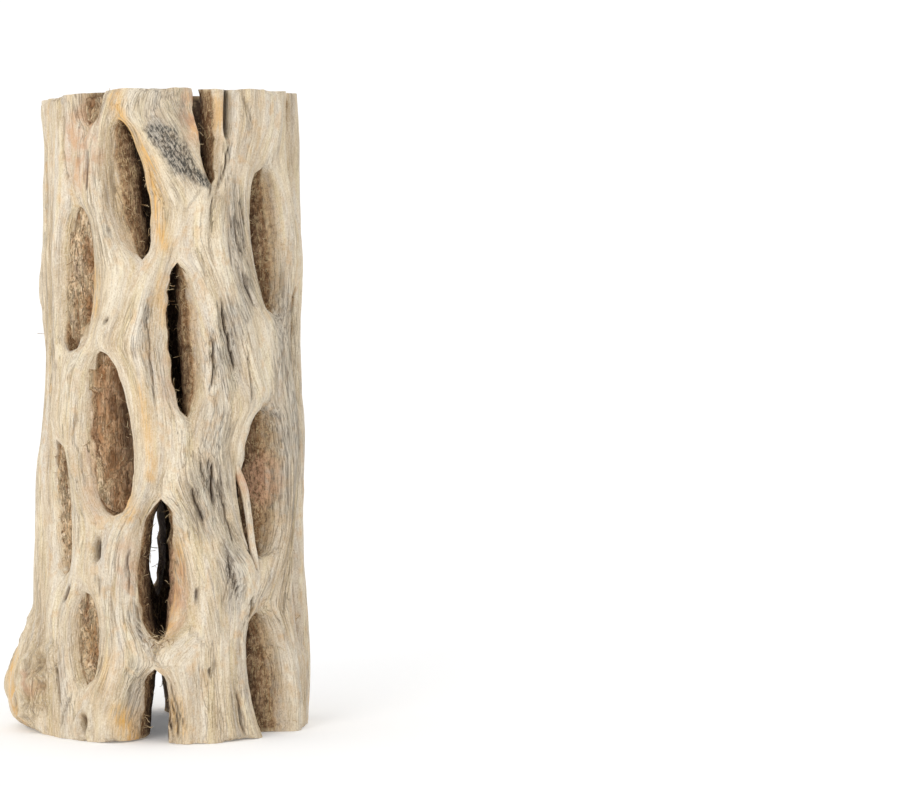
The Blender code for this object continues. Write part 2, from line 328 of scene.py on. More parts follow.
column_of, row_of, bank_of, owner_of = (np.array(each) for each in (column_of, row_of, bank_of, owner_of))
print(f"{len(row_of)} points on the outer face")

# %% Open the slits
grain_angle = turned(column_of * FIBRE_STEP)
height_of = row_of * ROW_STEP
for number, slit in enumerate(slits):
    column = rows_open[number][0]
    for tip, row in ((slit.low, slit.low_row), (slit.high, slit.high_row)):
        if 0 < row < FIBRE_ROWS:
            height_of[rightward[column, row]] = tip
angle_of = grain_angle.copy()
for number, slit in enumerate(slits):
    angle_of += slit.shift(grain_angle, height_of, np.where(owner_of == number, bank_of, 0))
print(f"Strands move up to {np.degrees(abs(angle_of - grain_angle).max()):.0f} degrees round the log")

# %% [markdown]
# ## Relief of the weathered face
# Rain and sand leave the strands rounded, with long ridges and dry cracks between bundles of
# fibres. All of it follows the grain, so the noise is read in the sheet's own coordinates, before
# the slits were opened: a ridge then bends round a window with its strand. Between two windows of
# neighbouring columns the grain also slants, by a lean in degrees: there a second noise, read in
# slanted coordinates, fades in over the first. Sizes are the real spacing across the grain and
# along it, and the height of the relief.

# %% Where the grain slants
Drift = namedtuple("Drift", "angle height half_width half_height lean")
DRIFTS = (
    Drift(34, 104 * MM, 19 * MM, 33 * MM, -15),
    Drift(23, 46 * MM, 16 * MM, 27 * MM, -19),
    Drift(7, 137 * MM, 9 * MM, 15 * MM, -24),
    Drift(-7, 96 * MM, 9 * MM, 30 * MM, 8),
    Drift(-16, 22 * MM, 11 * MM, 22 * MM, 10),
    Drift(3, 23 * MM, 9 * MM, 6 * MM, 45),
    Drift(-43, 82 * MM, 9 * MM, 16 * MM, 9),
    Drift(130, 70 * MM, 14 * MM, 30 * MM, 12),
    Drift(190, 110 * MM, 14 * MM, 30 * MM, -13),
    Drift(240, 40 * MM, 14 * MM, 30 * MM, 14),
)
SLANT_EDGE = 1.8  # how quickly the slant comes in from the edge of its oval
slant_share = np.zeros(len(angle_of))
slanted_angle = grain_angle.copy()
for drift in DRIFTS:
    away = turned(angle_of - math.radians(drift.angle)) * MEAN_RADIUS / drift.half_width
    rise = (height_of - drift.height) / drift.half_height
    share = np.clip(SLANT_EDGE * (1 - away**2 - rise**2), 0, 1)
    run = math.tan(math.radians(drift.lean)) / MEAN_RADIUS
    here = share > slant_share
    slanted_angle = np.where(here, grain_angle - run * (height_of - drift.height), slanted_angle)
    slant_share = np.where(here, share * share * (3 - 2 * share), slant_share)
print(f"The grain slants in {len(DRIFTS)} places")

# %% Noise that follows the grain
Relief = namedtuple("Relief", "across along height")
SWELL = Relief(12 * MM, 30 * MM, 0.9 * MM)
RIDGES = (
    Relief(5.0 * MM, 38 * MM, 0.90 * MM),
    Relief(2.3 * MM, 19 * MM, 0.46 * MM),
    Relief(1.1 * MM, 8 * MM, 0.20 * MM),
)


def grain_noise(angle, height, relief, seed=0.0):
    """Noise on the log, stretched along the grain. It has no seam at the back."""
    round_x = np.cos(angle) * MEAN_RADIUS / relief.across
    round_y = np.sin(angle) * MEAN_RADIUS / relief.across
    spots = zip(round_x + seed, round_y, height / relief.along + seed)
    return np.array([noise.noise(Vector(spot)) for spot in spots])


ridges, slanted_ridges = (
    sum(r.height * grain_noise(angle, height_of, r, 3.0 * i) for i, r in enumerate(RIDGES))
    for angle in (grain_angle, slanted_angle)
)
ridges += (slanted_ridges - ridges) * slant_share
swell = SWELL.height * grain_noise(angle_of, height_of, SWELL)
print(f"Ridges stand between {ridges.min() / MM:.2f} and {ridges.max() / MM:.2f} mm")

# %% [markdown]
# ## Rims, banks and the stub
# The face sinks a little towards each rim, as in the solid, and its very edge is worn round. A
# window is rarely cut straight in: one bank is a sharp lip with the dark core behind it, and the
# other is worn down to a slope and leans in under the window. Those banks are listed. A
# bank leans in by a share of the window's width.

# %% Where the face sinks
RIM_DROP = 1.5 * MM
RIM_DROP_REACH = 3.2 * MM
WORN_EDGE = 0.55 * MM
WORN_EDGE_REACH = 1.1 * MM

Hollow = namedtuple("Hollow", "angle height half_width half_height depth")
HOLLOWS = (
    Hollow(8.5, 37.5 * MM, 6.5 * MM, 17.0 * MM, 3.4 * MM),
    Hollow(-12.8, 6.0 * MM, 3.6 * MM, 12.0 * MM, 2.4 * MM),
    Hollow(13.0, 147.0 * MM, 2.6 * MM, 8.0 * MM, 1.8 * MM),
)
print(f"The deepest hollow is {max(hollow.depth for hollow in HOLLOWS) / MM:.1f} mm deep")

# %% The banks of the windows
Bank = namedtuple("Bank", "side worn_reach worn_depth lean_in")
BANKS = {
    "upper_left": (Bank(-1, 2.4 * MM, 1.6 * MM, 0.62),),
    "middle": (Bank(1, 2.6 * MM, 2.2 * MM, 0.55),),
    "left_large": (Bank(-1, 2.6 * MM, 1.6 * MM, 0.10),),
    "through": (Bank(-1, 1.8 * MM, 1.2 * MM, 0.10), Bank(1, 3.0 * MM, 1.2 * MM, 0.16)),
    "foot_notch": (Bank(-1, 2.0 * MM, 1.5 * MM, 0.10),),
    "right_upper": (Bank(1, 3.4 * MM, 2.8 * MM, 0.45), Bank(-1, 1.6 * MM, 0.8 * MM, 0.0)),
    "right_middle": (Bank(1, 4.2 * MM, 3.2 * MM, 0.50),),
    "right_lower": (Bank(1, 3.6 * MM, 2.8 * MM, 0.50),),
    "top_notch": (Bank(1, 2.0 * MM, 1.2 * MM, 0.40),),
}
OTHER_BANKS = (Bank(-1, 2.6 * MM, 1.8 * MM, 0.20), Bank(1, 2.0 * MM, 1.0 * MM, 0.12))
BANK_FROM, BANK_TO = -1.2 * MM, 8 * MM
FULL_DROP_HALF_WIDTH = 4 * MM
print(f"{len(BANKS)} windows have banks of their own")


# %% The large form of the face
def within(angle, height, spot):
    """1 at the middle of an oval on the log, falling to 0 at its edge and outside it."""
    away = turned(angle - math.radians(spot.angle)) * MEAN_RADIUS / spot.half_width
    rise = (height - spot.height) / spot.half_height
    return np.clip(1 - away**2 - rise**2, 0, None)


def rim_distance(angle, height, slit):
    beside = abs(turned(angle - slit.centre(height))) - slit.half_gap(height)
    above = np.maximum(slit.low - height, height - slit.high)
    return np.hypot(np.clip(beside, 0, None) * MEAN_RADIUS, np.clip(above, 0, None))


face_of = RADIUS_AT_BOTTOM + (RADIUS_AT_TOP - RADIUS_AT_BOTTOM) * height_of / LENGTH + swell
face_of += within(angle_of, height_of, STUB) ** 2 * (
    STUB.rise - STUB.undercut * np.clip(1 - height_of / STUB.undercut, 0, None) ** 2
)
for hollow in HOLLOWS:
    face_of -= hollow.depth * within(angle_of, height_of, hollow)
nearest_rim = np.full(len(face_of), 1.0)
worn_of = np.zeros(len(face_of))
for slit in slits:
    distance = rim_distance(angle_of, height_of, slit)
    open_share = slit.half_gap(height_of) * MEAN_RADIUS / slit.window.half_width
    for bank in BANKS.get(slit.window.name, OTHER_BANKS):
        out = turned(angle_of - slit.centre(height_of)) * bank.side - slit.half_gap(height_of)
        slope = np.clip(1 - np.clip(out, 0, None) * MEAN_RADIUS / bank.worn_reach, 0, 1) ** 1.6
        beside_bank = (out * MEAN_RADIUS > BANK_FROM) & (out * MEAN_RADIUS < BANK_TO)
        worn_of = np.maximum(worn_of, bank.worn_depth * slope * np.clip(open_share * 1.6, 0, 1) * beside_bank)
    drop = RIM_DROP * min(1.0, slit.window.half_width / FULL_DROP_HALF_WIDTH)
    face_of -= drop * np.exp(-((distance / RIM_DROP_REACH) ** 2))
    nearest_rim = np.minimum(nearest_rim, distance)
face_of -= worn_of + WORN_EDGE * np.clip(1 - nearest_rim / WORN_EDGE_REACH, 0, 1) ** 2
face_of += ridges * np.clip(0.35 + nearest_rim / (2 * MM), 0, 1)
print(f"The face lies {face_of.min() / MM:.1f} to {face_of.max() / MM:.1f} mm from the axis")

# %% [markdown]
# ## Cracks and pits
# Between the bundles the dry wood has split. Each crack is a short path down the face, by angle and
# height, with a half width and a depth. They are placed where they can be seen on the real log, and
# a seeded scatter of finer ones covers the rest. The same distance that carves a crack also paints
# shade into it later, darker the deeper the crack, so that shape and colour can't come apart. Where
# a twig once left the stem there is a knot: a ring of raised fibres round a pit.

# %% Cracks that can be seen
Crack = namedtuple("Crack", "path half_width depth valley", defaults=(0.0,))
CRACKS = (
    Crack(((35.4, 64.0), (37.0, 57.5), (39.8, 50.4), (43.4, 43.5), (46.6, 38.6)), 0.75, 3.6),
    Crack(((32.5, 153.0), (32.3, 146.4), (32.2, 139.7)), 0.85, 6.0),
    Crack(((32.4, 140.0), (31.1, 135.3), (29.1, 131.2), (25.3, 127.2)), 0.45, 0.9),
    Crack(((24.0, 130.0), (22.5, 124.9), (22.9, 118.0)), 0.40, 0.8),
    Crack(((32.9, 123.3), (34.7, 117.3), (37.7, 111.7)), 0.40, 0.8),
    Crack(((37.0, 126.1), (39.4, 119.6)), 0.32, 0.6),
    Crack(((36.1, 109.9), (39.6, 105.7), (42.8, 101.5)), 0.42, 0.8),
    Crack(((26.8, 103.9), (29.0, 96.0), (31.3, 91.3), (33.1, 85.7)), 0.50, 1.2),
    Crack(((22.6, 95.6), (23.8, 88.6), (21.5, 80.8)), 0.42, 0.9),
    Crack(((39.3, 90.1), (41.6, 79.1)), 0.30, 0.6),
    Crack(((23.0, 66.1), (21.6, 60.8), (23.3, 55.0)), 0.55, 1.3),
    Crack(((12.6, 60.2), (15.5, 56.0), (18.9, 50.7)), 0.50, 1.1),
    Crack(((25.2, 64.0), (26.5, 55.9)), 0.32, 0.6),
    Crack(((16.0, 66.5), (19.5, 60.5), (24.0, 54.0)), 0.40, 0.8),
    Crack(((26.5, 57.0), (29.0, 51.5), (32.5, 45.5)), 0.40, 0.8),
    Crack(((28.1, 45.4), (30.8, 39.7), (34.0, 32.6)), 0.45, 1.0),
    Crack(((50.3, 78.2), (52.8, 74.6), (55.4, 70.8)), 0.50, 1.1),
    Crack(((-5.3, 104.6), (-5.7, 97.0), (-3.6, 86.4), (-1.5, 77.2)), 0.34, 0.7),
    Crack(((57.6, 19.8), (62.7, 10.4), (61.5, 2.9)), 0.45, 1.0),
    Crack(((58.6, 60.4), (60.5, 50.4)), 0.40, 0.8),
    Crack(((83.3, 95.3), (76.7, 90.2), (73.1, 82.4)), 0.40, 0.8),
    Crack(((68.0, 41.0), (63.0, 34.2), (61.1, 29.0)), 0.40, 0.8),
    Crack(((-52.1, 16.3), (-49.6, 8.9)), 0.40, 0.8),
    Crack(((-42.8, 11.6), (-46.7, 6.2), (-49.5, 2.3)), 0.40, 0.8),
    Crack(((-14.5, 46.3), (-14.5, 40.1), (-13.6, 34.0)), 0.40, 0.8),
    Crack(((-12.3, 33.6), (-10.2, 27.8), (-8.1, 23.2)), 0.40, 0.8),
    Crack(((3.9, 15.1), (6.3, 9.3), (12.0, 2.2)), 0.38, 0.7),
    Crack(((1.8, 12.5), (2.8, 8.0), (5.2, 2.0)), 0.50, 1.2),
    Crack(((4.6, 10.5), (6.8, 5.5), (8.5, 0.8)), 0.42, 0.9),
    Crack(((-34.4, 5.2), (-33.6, 3.4)), 0.90, 1.6),
    Crack(((33.2, 12.5), (34.1, 8.5), (35.5, 4.4), (37.4, 0.6)), 0.60, 0.8),
    Crack(((39.4, 150.5), (41.0, 148.0), (43.8, 144.5)), 0.38, 0.7),
    Crack(((-50.7, 149.5), (-49.7, 137.8), (-44.4, 128.5)), 0.35, 0.7),
    Crack(((-33.5, 137.7), (-34.5, 129.6)), 0.35, 0.7),
    Crack(((-28.3, 47.6), (-28.4, 45.0), (-28.5, 42.4)), 0.95, 3.0),
    Crack(((-27.6, 39.6), (-27.2, 37.0), (-27.0, 34.6)), 0.42, 0.9),
    Crack(((-83.0, 133.0), (-72.0, 137.0), (-65.0, 140.0)), 0.80, 1.6),
    Crack(((16.1, 35.4), (15.7, 33.1)), 0.45, 1.0),
    Crack(((40.0, 32.9), (39.9, 30.1)), 0.50, 1.0),
    Crack(((-45.1, 35.5), (-47.8, 32.5)), 0.45, 0.9),
    Crack(((-23.0, 119.0), (-23.0, 118.4)), 0.45, 0.9),
    Crack(((-23.4, 98.9), (-23.4, 98.3)), 0.50, 1.0),
    Crack(((20.6, 16.9), (20.6, 16.1)), 0.50, 1.0),
)
print(f"{len(CRACKS)} cracks placed by hand")

# %% Knots
Knot = namedtuple("Knot", "angle height radius depth")
KNOTS = (
    Knot(-60.4, 17.2 * MM, 2.6 * MM, 2.0 * MM),
    Knot(-66.5, 8.0 * MM, 2.8 * MM, 1.8 * MM),
    Knot(-58.0, 11.5 * MM, 1.6 * MM, 0.9 * MM),
    Knot(-72.0, 14.5 * MM, 1.8 * MM, 0.8 * MM),
    Knot(-95.0, 14.0 * MM, 3.4 * MM, 1.3 * MM),
    Knot(-86.0, 24.0 * MM, 2.2 * MM, 0.8 * MM),
    Knot(-34.6, 4.4 * MM, 2.0 * MM, 1.2 * MM),
    Knot(40.5, 30.5 * MM, 1.3 * MM, 0.6 * MM),
    Knot(150.0, 96.0 * MM, 2.4 * MM, 0.9 * MM),
    Knot(214.0, 60.0 * MM, 2.2 * MM, 0.8 * MM),
)
knot_of = np.zeros(len(face_of))
for knot in KNOTS:
    away = turned(angle_of - math.radians(knot.angle)) * MEAN_RADIUS
    rise = height_of - knot.height
    wobble = 1 + 0.22 * np.sin(2 * np.arctan2(away, rise) + knot.angle)
    out = np.hypot(away, rise * 0.8) / knot.radius * wobble
    rings = np.cos(out * 2 * math.pi / 0.9) * np.exp(-((out / 1.5) ** 2))
    swelling = 0.9 * np.exp(-(((out - 1.05) / 0.5) ** 2))
    face_of += knot.depth * (swelling - 0.25 * rings - 0.7 * np.exp(-((out / 0.4) ** 2)))
    knot_of = np.maximum(knot_of, np.exp(-((out / 0.45) ** 2)))
    knot_of = np.maximum(knot_of, np.clip(0.75 * rings, 0, 1) * (out > 0.6))
print(f"{len(KNOTS)} knots")

# %% Split the placed cracks into lines
VALLEY = 0.30
SLOT_HALF_WIDTH = 0.75


def wavy_part(path, start, end, aside, draw):
    """Part of a path, from one share of its length to another, moved aside by some mm and made wavy."""
    angles, heights = np.array(path).T
    steps = max(3, round(abs(heights[-1] - heights[0]) * (end - start) / 1.5))
    shares = np.linspace(start, end, steps)
    down = shares * abs(heights[-1] - heights[0])
    wobble = 0.22 * np.sin(down / 1.1 + draw.uniform(0, 6)) + 0.12 * np.sin(down / 0.45 + draw.uniform(0, 6))
    along = np.linspace(0, 1, len(path))
    angle = np.interp(shares, along, angles) + np.degrees((aside + wobble) * MM / MEAN_RADIUS)
    return tuple(zip(angle, np.interp(shares, along, heights)))


def split_in_lines(cracks):
    """Weather opens a crack as a group: a main line in a shallow valley, and shorter lines beside it."""
    draw = random.Random(SEED + 2)
    lines = []
    for crack in cracks:
        if len(crack.path) < 3 or crack.half_width >= SLOT_HALF_WIDTH:
            lines.append(crack)
            continue
        main = wavy_part(crack.path, 0, 1, 0, draw)
        lines.append(Crack(main, crack.half_width * 0.62, crack.depth, VALLEY))
        for side in (-1, 1, -2, 2):
            start = draw.uniform(-0.1, 0.6)
            end = min(1.15, start + draw.uniform(0.25, 0.55))
            aside = side * draw.uniform(0.55, 0.85)
            beside = wavy_part(crack.path, max(0.0, start), min(1.0, end), aside, draw)
            half_width = crack.half_width * draw.uniform(0.35, 0.55)
            depth = crack.depth * draw.uniform(0.3, 0.6)
            lines.append(Crack(beside, half_width, depth))
    return tuple(lines)


LINES = split_in_lines(CRACKS)
print(f"{len(CRACKS)} placed cracks are {len(LINES)} lines")

# %% Cracks round the knots
RING_STEPS = 16
RING_HALF_WIDTH, RING_DEPTH = 0.28, 0.45
LEAST_RINGED_KNOT = 2.1 * MM


def ring_crack(knot, size):
    """The crack round a knot, where the twig shrank away from the stem, a little taller than wide."""
    turns = [step / RING_STEPS * 2 * math.pi for step in range(RING_STEPS + 1)]
    wide = math.degrees(knot.radius * size / MEAN_RADIUS)
    tall = 1.3 * knot.radius * size / MM
    path = tuple((knot.angle + wide * math.sin(t), knot.height / MM + tall * math.cos(t)) for t in turns)
    return Crack(path, RING_HALF_WIDTH, RING_DEPTH)


ringed = [knot for knot in KNOTS if knot.radius > LEAST_RINGED_KNOT]
KNOT_RINGS = tuple(ring_crack(knot, size) for knot in ringed for size in (0.5, 1.15))
LINES += KNOT_RINGS
print(f"{len(KNOT_RINGS)} rings round {len(ringed)} knots")

# %% Cracks that are scattered
SCATTERED_CRACKS = 700


def scattered_cracks():
    """Short fine cracks along the grain. Each follows one column of the sheet."""
    draw = random.Random(SEED + 1)
    cracks = []
    for _ in range(SCATTERED_CRACKS):
        column, row = draw.randrange(FIBRE_COLUMNS), draw.randrange(2, FIBRE_ROWS - 12)
        rows = range(row, min(FIBRE_ROWS - 1, row + draw.randrange(3, 11)), 2)
        points = [rightward[column, r] for r in rows]
        path = tuple((math.degrees(angle_of[p]), height_of[p] / MM) for p in points)
        if len(path) > 1:
            cracks.append(Crack(path, draw.uniform(0.16, 0.26), draw.uniform(0.05, 0.3)))
    return cracks


print(f"{SCATTERED_CRACKS} more cracks are drawn at random")

# %% How far a point lies from a crack


def path_distance(angle, height, path):
    """How far each point is from a path on the log, in metres, and how far along it, from 0 to 1."""
    best, along = np.full(len(angle), 1.0), np.zeros(len(angle))
    steps = len(path) - 1
    for step, ((a0, z0), (a1, z1)) in enumerate(zip(path, path[1:])):
        across = turned(angle - math.radians(a0)) * MEAN_RADIUS
        rise = height - z0 * MM
        run_x, run_z = math.radians(a1 - a0) * MEAN_RADIUS, (z1 - z0) * MM
        share = np.clip((across * run_x + rise * run_z) / (run_x**2 + run_z**2), 0, 1)
        distance = np.hypot(across - share * run_x, rise - share * run_z)
        closer = distance < best
        best = np.where(closer, distance, best)
        along = np.where(closer, (step + share) / steps, along)
    return best, along


middle_of_first, _ = path_distance(np.zeros(1), np.full(1, LENGTH / 2), CRACKS[0].path)
print(f"The first crack passes {middle_of_first[0] / MM:.0f} mm from the middle of the front")

# %% Carve the cracks
# crack_of is the painted shade of the cracks, stronger the deeper the crack
crack_of = np.zeros(len(face_of))
carved = np.zeros(len(face_of))
valleys = np.zeros(len(face_of))
for crack in LINES + tuple(scattered_cracks()):
    angles, heights = zip(*crack.path)
    middle = math.radians(sum(angles) / len(angles))
    near = np.nonzero(
        (abs(turned(angle_of - middle)) < math.radians(16))
        & (height_of > min(heights) * MM - 3 * MM)
        & (height_of < max(heights) * MM + 3 * MM)
    )[0]
    distance, along = path_distance(angle_of[near], height_of[near], crack.path)
    tapered = np.clip(np.minimum(along, 1 - along) * 6, 0.2, 1) if len(crack.path) > 2 else 1.0
    shape = np.exp(-((distance / (crack.half_width * MM)) ** 2)) * tapered
    carved[near] = np.maximum(carved[near], shape * crack.depth * MM)
    crack_of[near] = np.maximum(crack_of[near], shape * min(1.0, 0.15 + crack.depth / 1.3))
    if crack.valley:
        crest = np.exp(-(((distance - 1.7 * MM) / (0.6 * MM)) ** 2))
        valleys[near] += crack.valley * MM * (np.exp(-((distance / (1.2 * MM)) ** 2)) - 0.7 * crest)
face_of -= carved + np.clip(valleys, -0.3 * MM, 0.6 * MM)
print(f"{len(LINES)} lines placed and {SCATTERED_CRACKS} scattered, up to {carved.max() / MM:.1f} mm deep")

# %% [markdown]
# ## From the sheet to the log
# The core's wall needs far fewer points, so it keeps the solid's columns. Points between the face
# and the core are needed only on the walls of the windows and on the saw cuts. Such a run of points
# is a spoke: it starts on the face, and ends on the core where the core has a point.

# %% Roll a point up
CORE_SWELL = 0.8 * MM


def core_radius(angle, height):
    spots = zip(np.cos(angle) * 1.5, np.sin(angle) * 1.5, height / SWELL.along + 7)
    return CORE_RADIUS + CORE_SWELL * np.array([noise.noise(Vector(spot)) for spot in spots])


def on_log(angle, radius, height):
    """Points at an angle, a radius and a height, with the upper saw cut's fall worked in."""
    x, y = radius * np.sin(angle), -radius * np.cos(angle)
    fall = TOP_CUT_FALL * np.minimum(0, x - TOP_CUT_FALL_STARTS) * (height / LENGTH) ** 4
    return np.stack([x + AXIS.x, y + AXIS.y, height + fall], axis=-1)


print(f"The core's wall swells in and out by up to {CORE_SWELL / MM:.1f} mm")

# %% Spokes through the wall
SPOKE_DEPTHS = (0.035, 0.11, 0.22, 0.36, 0.52, 0.74)
WALL_ROUGH = 0.8 * MM
WALL_ROUGH_EVERY = 2.4 * MM
SAW_ROUGH = 0.3 * MM
EDGE_BROKEN = Relief(7 * MM, 5 * MM, 1.2 * MM)
EDGE_SPLINTERS = Relief(1.3 * MM, 5 * MM, 0.5 * MM)

angles, radii, heights = [angle_of], [face_of], [height_of]
depths, grains = [np.zeros(len(face_of))], [grain_angle]
point_count = len(face_of)


def add_points(source, depth, angle_off=0.0, height_off=0.0):
    """New points below points of the face, at a share of the way to the core."""
    global point_count
    core = core_radius(angle_of[source], height_of[source])
    angles.append(angle_of[source] + angle_off)
    radii.append(face_of[source] + (core - face_of[source]) * depth)
    heights.append(height_of[source] + height_off)
    depths.append(np.full(len(source), depth))
    grains.append(grain_angle[source])
    made = np.full(len(angle_of), -1)
    made[source] = np.arange(point_count, point_count + len(source))
    point_count += len(source)
    return made


print(f"A spoke has {len(SPOKE_DEPTHS)} points below the face")

# %% Banks that lean in, and the broken edges of the saw cuts
leans_in = np.zeros(len(angle_of))
for number, slit in enumerate(slits):
    for bank in BANKS.get(slit.window.name, OTHER_BANKS):
        own = (owner_of == number) & (bank_of == bank.side)
        leans_in[own] = -bank.side * bank.lean_in * 2 * slit.half_gap(height_of[own])
on_cut = (row_of == 0) | (row_of == FIBRE_ROWS)
on_window = bank_of != 0
for number, slit in enumerate(slits):
    column = rows_open[number][0]
    for row in (slit.low_row, slit.high_row):
        if 0 < row < FIBRE_ROWS:
            on_window[rightward[column, row]] = True
broken = grain_noise(angle_of, height_of, EDGE_BROKEN, 11.0)
chips = np.clip(0.30 + 1.5 * broken, 0.12, 1) * EDGE_BROKEN.height
splinters = grain_noise(angle_of, height_of, EDGE_SPLINTERS, 17.0)
chips += np.clip(splinters, 0, 1) * EDGE_SPLINTERS.height
face_of -= chips * on_cut
to_cut = np.minimum(height_of, LENGTH - height_of)
face_of -= chips * 0.3 * np.clip(1 - to_cut / (2.5 * MM), 0, 1) * ~on_cut
height_of = height_of + chips * 0.35 * ((row_of == 0) * 1.0 - (row_of == FIBRE_ROWS))
heights[0] = height_of
print(f"The saw broke up to {chips.max() / MM:.1f} mm off the edges")

# %% Lay the spokes
spoked = np.nonzero(on_cut | on_window)[0]
spokes = [np.arange(len(angle_of))]
for depth in SPOKE_DEPTHS:
    spots = zip(
        np.cos(angle_of[spoked]) * MEAN_RADIUS / WALL_ROUGH_EVERY + bank_of[spoked] * 7,
        np.sin(angle_of[spoked]) * MEAN_RADIUS / WALL_ROUGH_EVERY + depth * 5,
        height_of[spoked] / WALL_ROUGH_EVERY / 2,
    )
    rough = np.array([noise.noise(Vector(spot)) for spot in spots])
    sideways = np.where(on_window[spoked] & ~on_cut[spoked], rough * WALL_ROUGH / MEAN_RADIUS, 0)
    sideways += leans_in[spoked] * min(1.0, depth / 0.4) ** 0.8 * min(1.0, (1 - depth) / 0.4)
    into = np.where(row_of[spoked] == 0, 1, np.where(row_of[spoked] == FIBRE_ROWS, -1, 0))
    spokes.append(add_points(spoked, depth, sideways, into * abs(rough) * SAW_ROUGH))
cored = np.nonzero(column_of % FINER_ROUND == 0)[0]
spokes.append(add_points(cored, 1.0))
spokes = np.array(spokes)
print(f"{point_count} points in all, {len(spoked)} spokes")

# %% [markdown]
# ## Skinning the points
# Every face is listed with its corners anticlockwise as seen from outside the wood, so that its
# normal points outwards: the outer face, the core, the walls of the windows, and the two saw cuts.

# %% The outer face and the core
faces = []
for column in range(FIBRE_COLUMNS):
    right, left = rightward[column], leftward[(column + 1) % FIBRE_COLUMNS]
    faces += [(right[r], left[r], left[r + 1], right[r + 1]) for r in range(FIBRE_ROWS)]
for column in range(0, FIBRE_COLUMNS, FINER_ROUND):
    right = spokes[-1][rightward[column]]
    left = spokes[-1][leftward[(column + FINER_ROUND) % FIBRE_COLUMNS]]
    faces += [(right[r], right[r + 1], left[r + 1], left[r]) for r in range(FIBRE_ROWS)]
print(f"{len(faces)} faces outside and in the core")

# %% The walls of the windows
for number, slit in enumerate(slits):
    column, rows = rows_open[number]
    up = [rightward[column, row] for row in rows]
    down = [leftward[column, row] for row in reversed(rows)]
    open_below, open_above = slit.low_row < 0, slit.high_row > FIBRE_ROWS
    if open_above:
        chain = down + [rightward[column, slit.low_row]] + up
    else:
        chain = up + [rightward[column, slit.high_row]] + down
        if not open_below:
            chain = [rightward[column, slit.low_row]] + chain + [rightward[column, slit.low_row]]
    for outer, inner in zip(spokes, spokes[1:]):
        faces += [(outer[a], outer[b], inner[b], inner[a]) for a, b in zip(chain, chain[1:])]
print(f"{len(faces)} faces with the walls of the windows")

# %% The saw cuts
for row, flip in ((0, 1), (FIBRE_ROWS, -1)):
    for cell in range(0, FIBRE_COLUMNS, FINER_ROUND):
        columns = range(cell, cell + FINER_ROUND)
        for column in columns:
            right, left = rightward[column, row], leftward[(column + 1) % FIBRE_COLUMNS, row]
            for outer, inner in zip(spokes[:-1], spokes[1:-1]):
                faces.append((outer[right], inner[right], inner[left], outer[left])[::flip])
        last, core = spokes[-2], spokes[-1]
        first, end = rightward[cell, row], leftward[(cell + FINER_ROUND) % FIBRE_COLUMNS, row]
        ring = [last[end]] + [last[rightward[column, row]] for column in reversed(columns)]
        faces.append(tuple(ring + [core[first], core[end]])[::flip])
print(f"{len(faces)} faces in all")

# %% Make the wood's mesh
point_angle, point_radius, point_height, point_depth, point_grain = (
    np.concatenate(each) for each in (angles, radii, heights, depths, grains)
)
point_radius[: len(face_of)] = face_of
places = on_log(point_angle, point_radius, point_height)


def mesh_of(name, places, faces):
    mesh = bpy.data.meshes.new(name)
    mesh.from_pydata([tuple(p) for p in places.tolist()], [], [tuple(map(int, f)) for f in faces])
    mesh.polygons.foreach_set("use_smooth", [True] * len(mesh.polygons))
    mesh.validate()
    return mesh


wood_mesh = mesh_of("wood", places, faces)
wood_mesh.set_sharp_from_angle(angle=math.radians(55))
wood = new_object("wood", wood_mesh)
print(f"The wood has {sum(len(p.vertices) - 2 for p in wood_mesh.polygons)} triangles")

# %% [markdown]
# ## What the weather did where
# The finish needs to know more about each point than its place: how deep in the wall it is, how
# worn, whether it lies in a crack, and which stain it has. These are stored as attributes on the
# mesh, and the material reads them. A stain is an oval or a path on the log.

# %% Stains
Oval = namedtuple("Oval", "angle height half_width half_height strength")
Streak = namedtuple("Streak", "path half_width strength")

GREY_STAINS_AND_RIGHT_SHADE = (
    Oval(2.0, 147.5 * MM, 11 * MM, 6 * MM, 0.5),
    Oval(20.0, 58.0 * MM, 6 * MM, 11 * MM, 0.65),
    Oval(34.8, 120.0 * MM, 3 * MM, 12 * MM, 0.8),
    Oval(39.0, 105.0 * MM, 3 * MM, 8 * MM, 0.7),
    Oval(29.9, 92.5 * MM, 4 * MM, 13 * MM, 0.8),
    Oval(30.8, 40.2 * MM, 4 * MM, 12 * MM, 0.7),
    # This wide oval on the right side is grey weathering and painted shade
    Oval(68.0, 80.0 * MM, 9 * MM, 30 * MM, 0.8),
    Oval(-10.8, 10.0 * MM, 3.2 * MM, 11 * MM, 0.6),
    Oval(58.7, 10.7 * MM, 4 * MM, 12 * MM, 0.7),
    Oval(23.5, 70.5 * MM, 4 * MM, 12 * MM, 0.5),
)
OCHRE = (
    Streak(((-19.7, 149.8), (-17.0, 143.0), (-8.0, 138.0), (-3.9, 134.1), (-0.9, 122.6), (1.6, 115.7)),
           1.8, 0.9),
    Streak(((-8.5, 83.0), (-7.5, 79.9), (-5.0, 72.0), (-4.1, 62.0)), 1.3, 0.55),
    Streak(((-13.6, 56.5), (-13.6, 53.0)), 1.6, 0.8),
    Streak(((8.0, 45.0), (6.5, 36.0), (3.0, 26.5)), 2.2, 0.75),
    Streak(((-84.0, 17.0), (-80.0, 9.0), (-73.0, 3.5)), 2.4, 0.9),
    Streak(((-17.8, 7.5), (-16.0, 4.0), (-13.0, 0.3)), 1.8, 1.0),
    Streak(((-23.0, 19.0), (-27.0, 12.0)), 2.4, 0.35),
    Streak(((5.5, 9.0), (8.0, 3.0)), 2.2, 0.6),
    Streak(((12.8, 150.5), (14.5, 145.6), (16.8, 141.5)), 0.9, 0.7),
    Streak(((-30.5, 109.0), (-30.5, 101.0)), 1.8, 0.7),
    Streak(((28.0, 149.0), (28.0, 143.0)), 1.6, 0.6),
    Streak(((0.3, 108.0), (1.5, 98.0)), 1.6, 0.5),
)
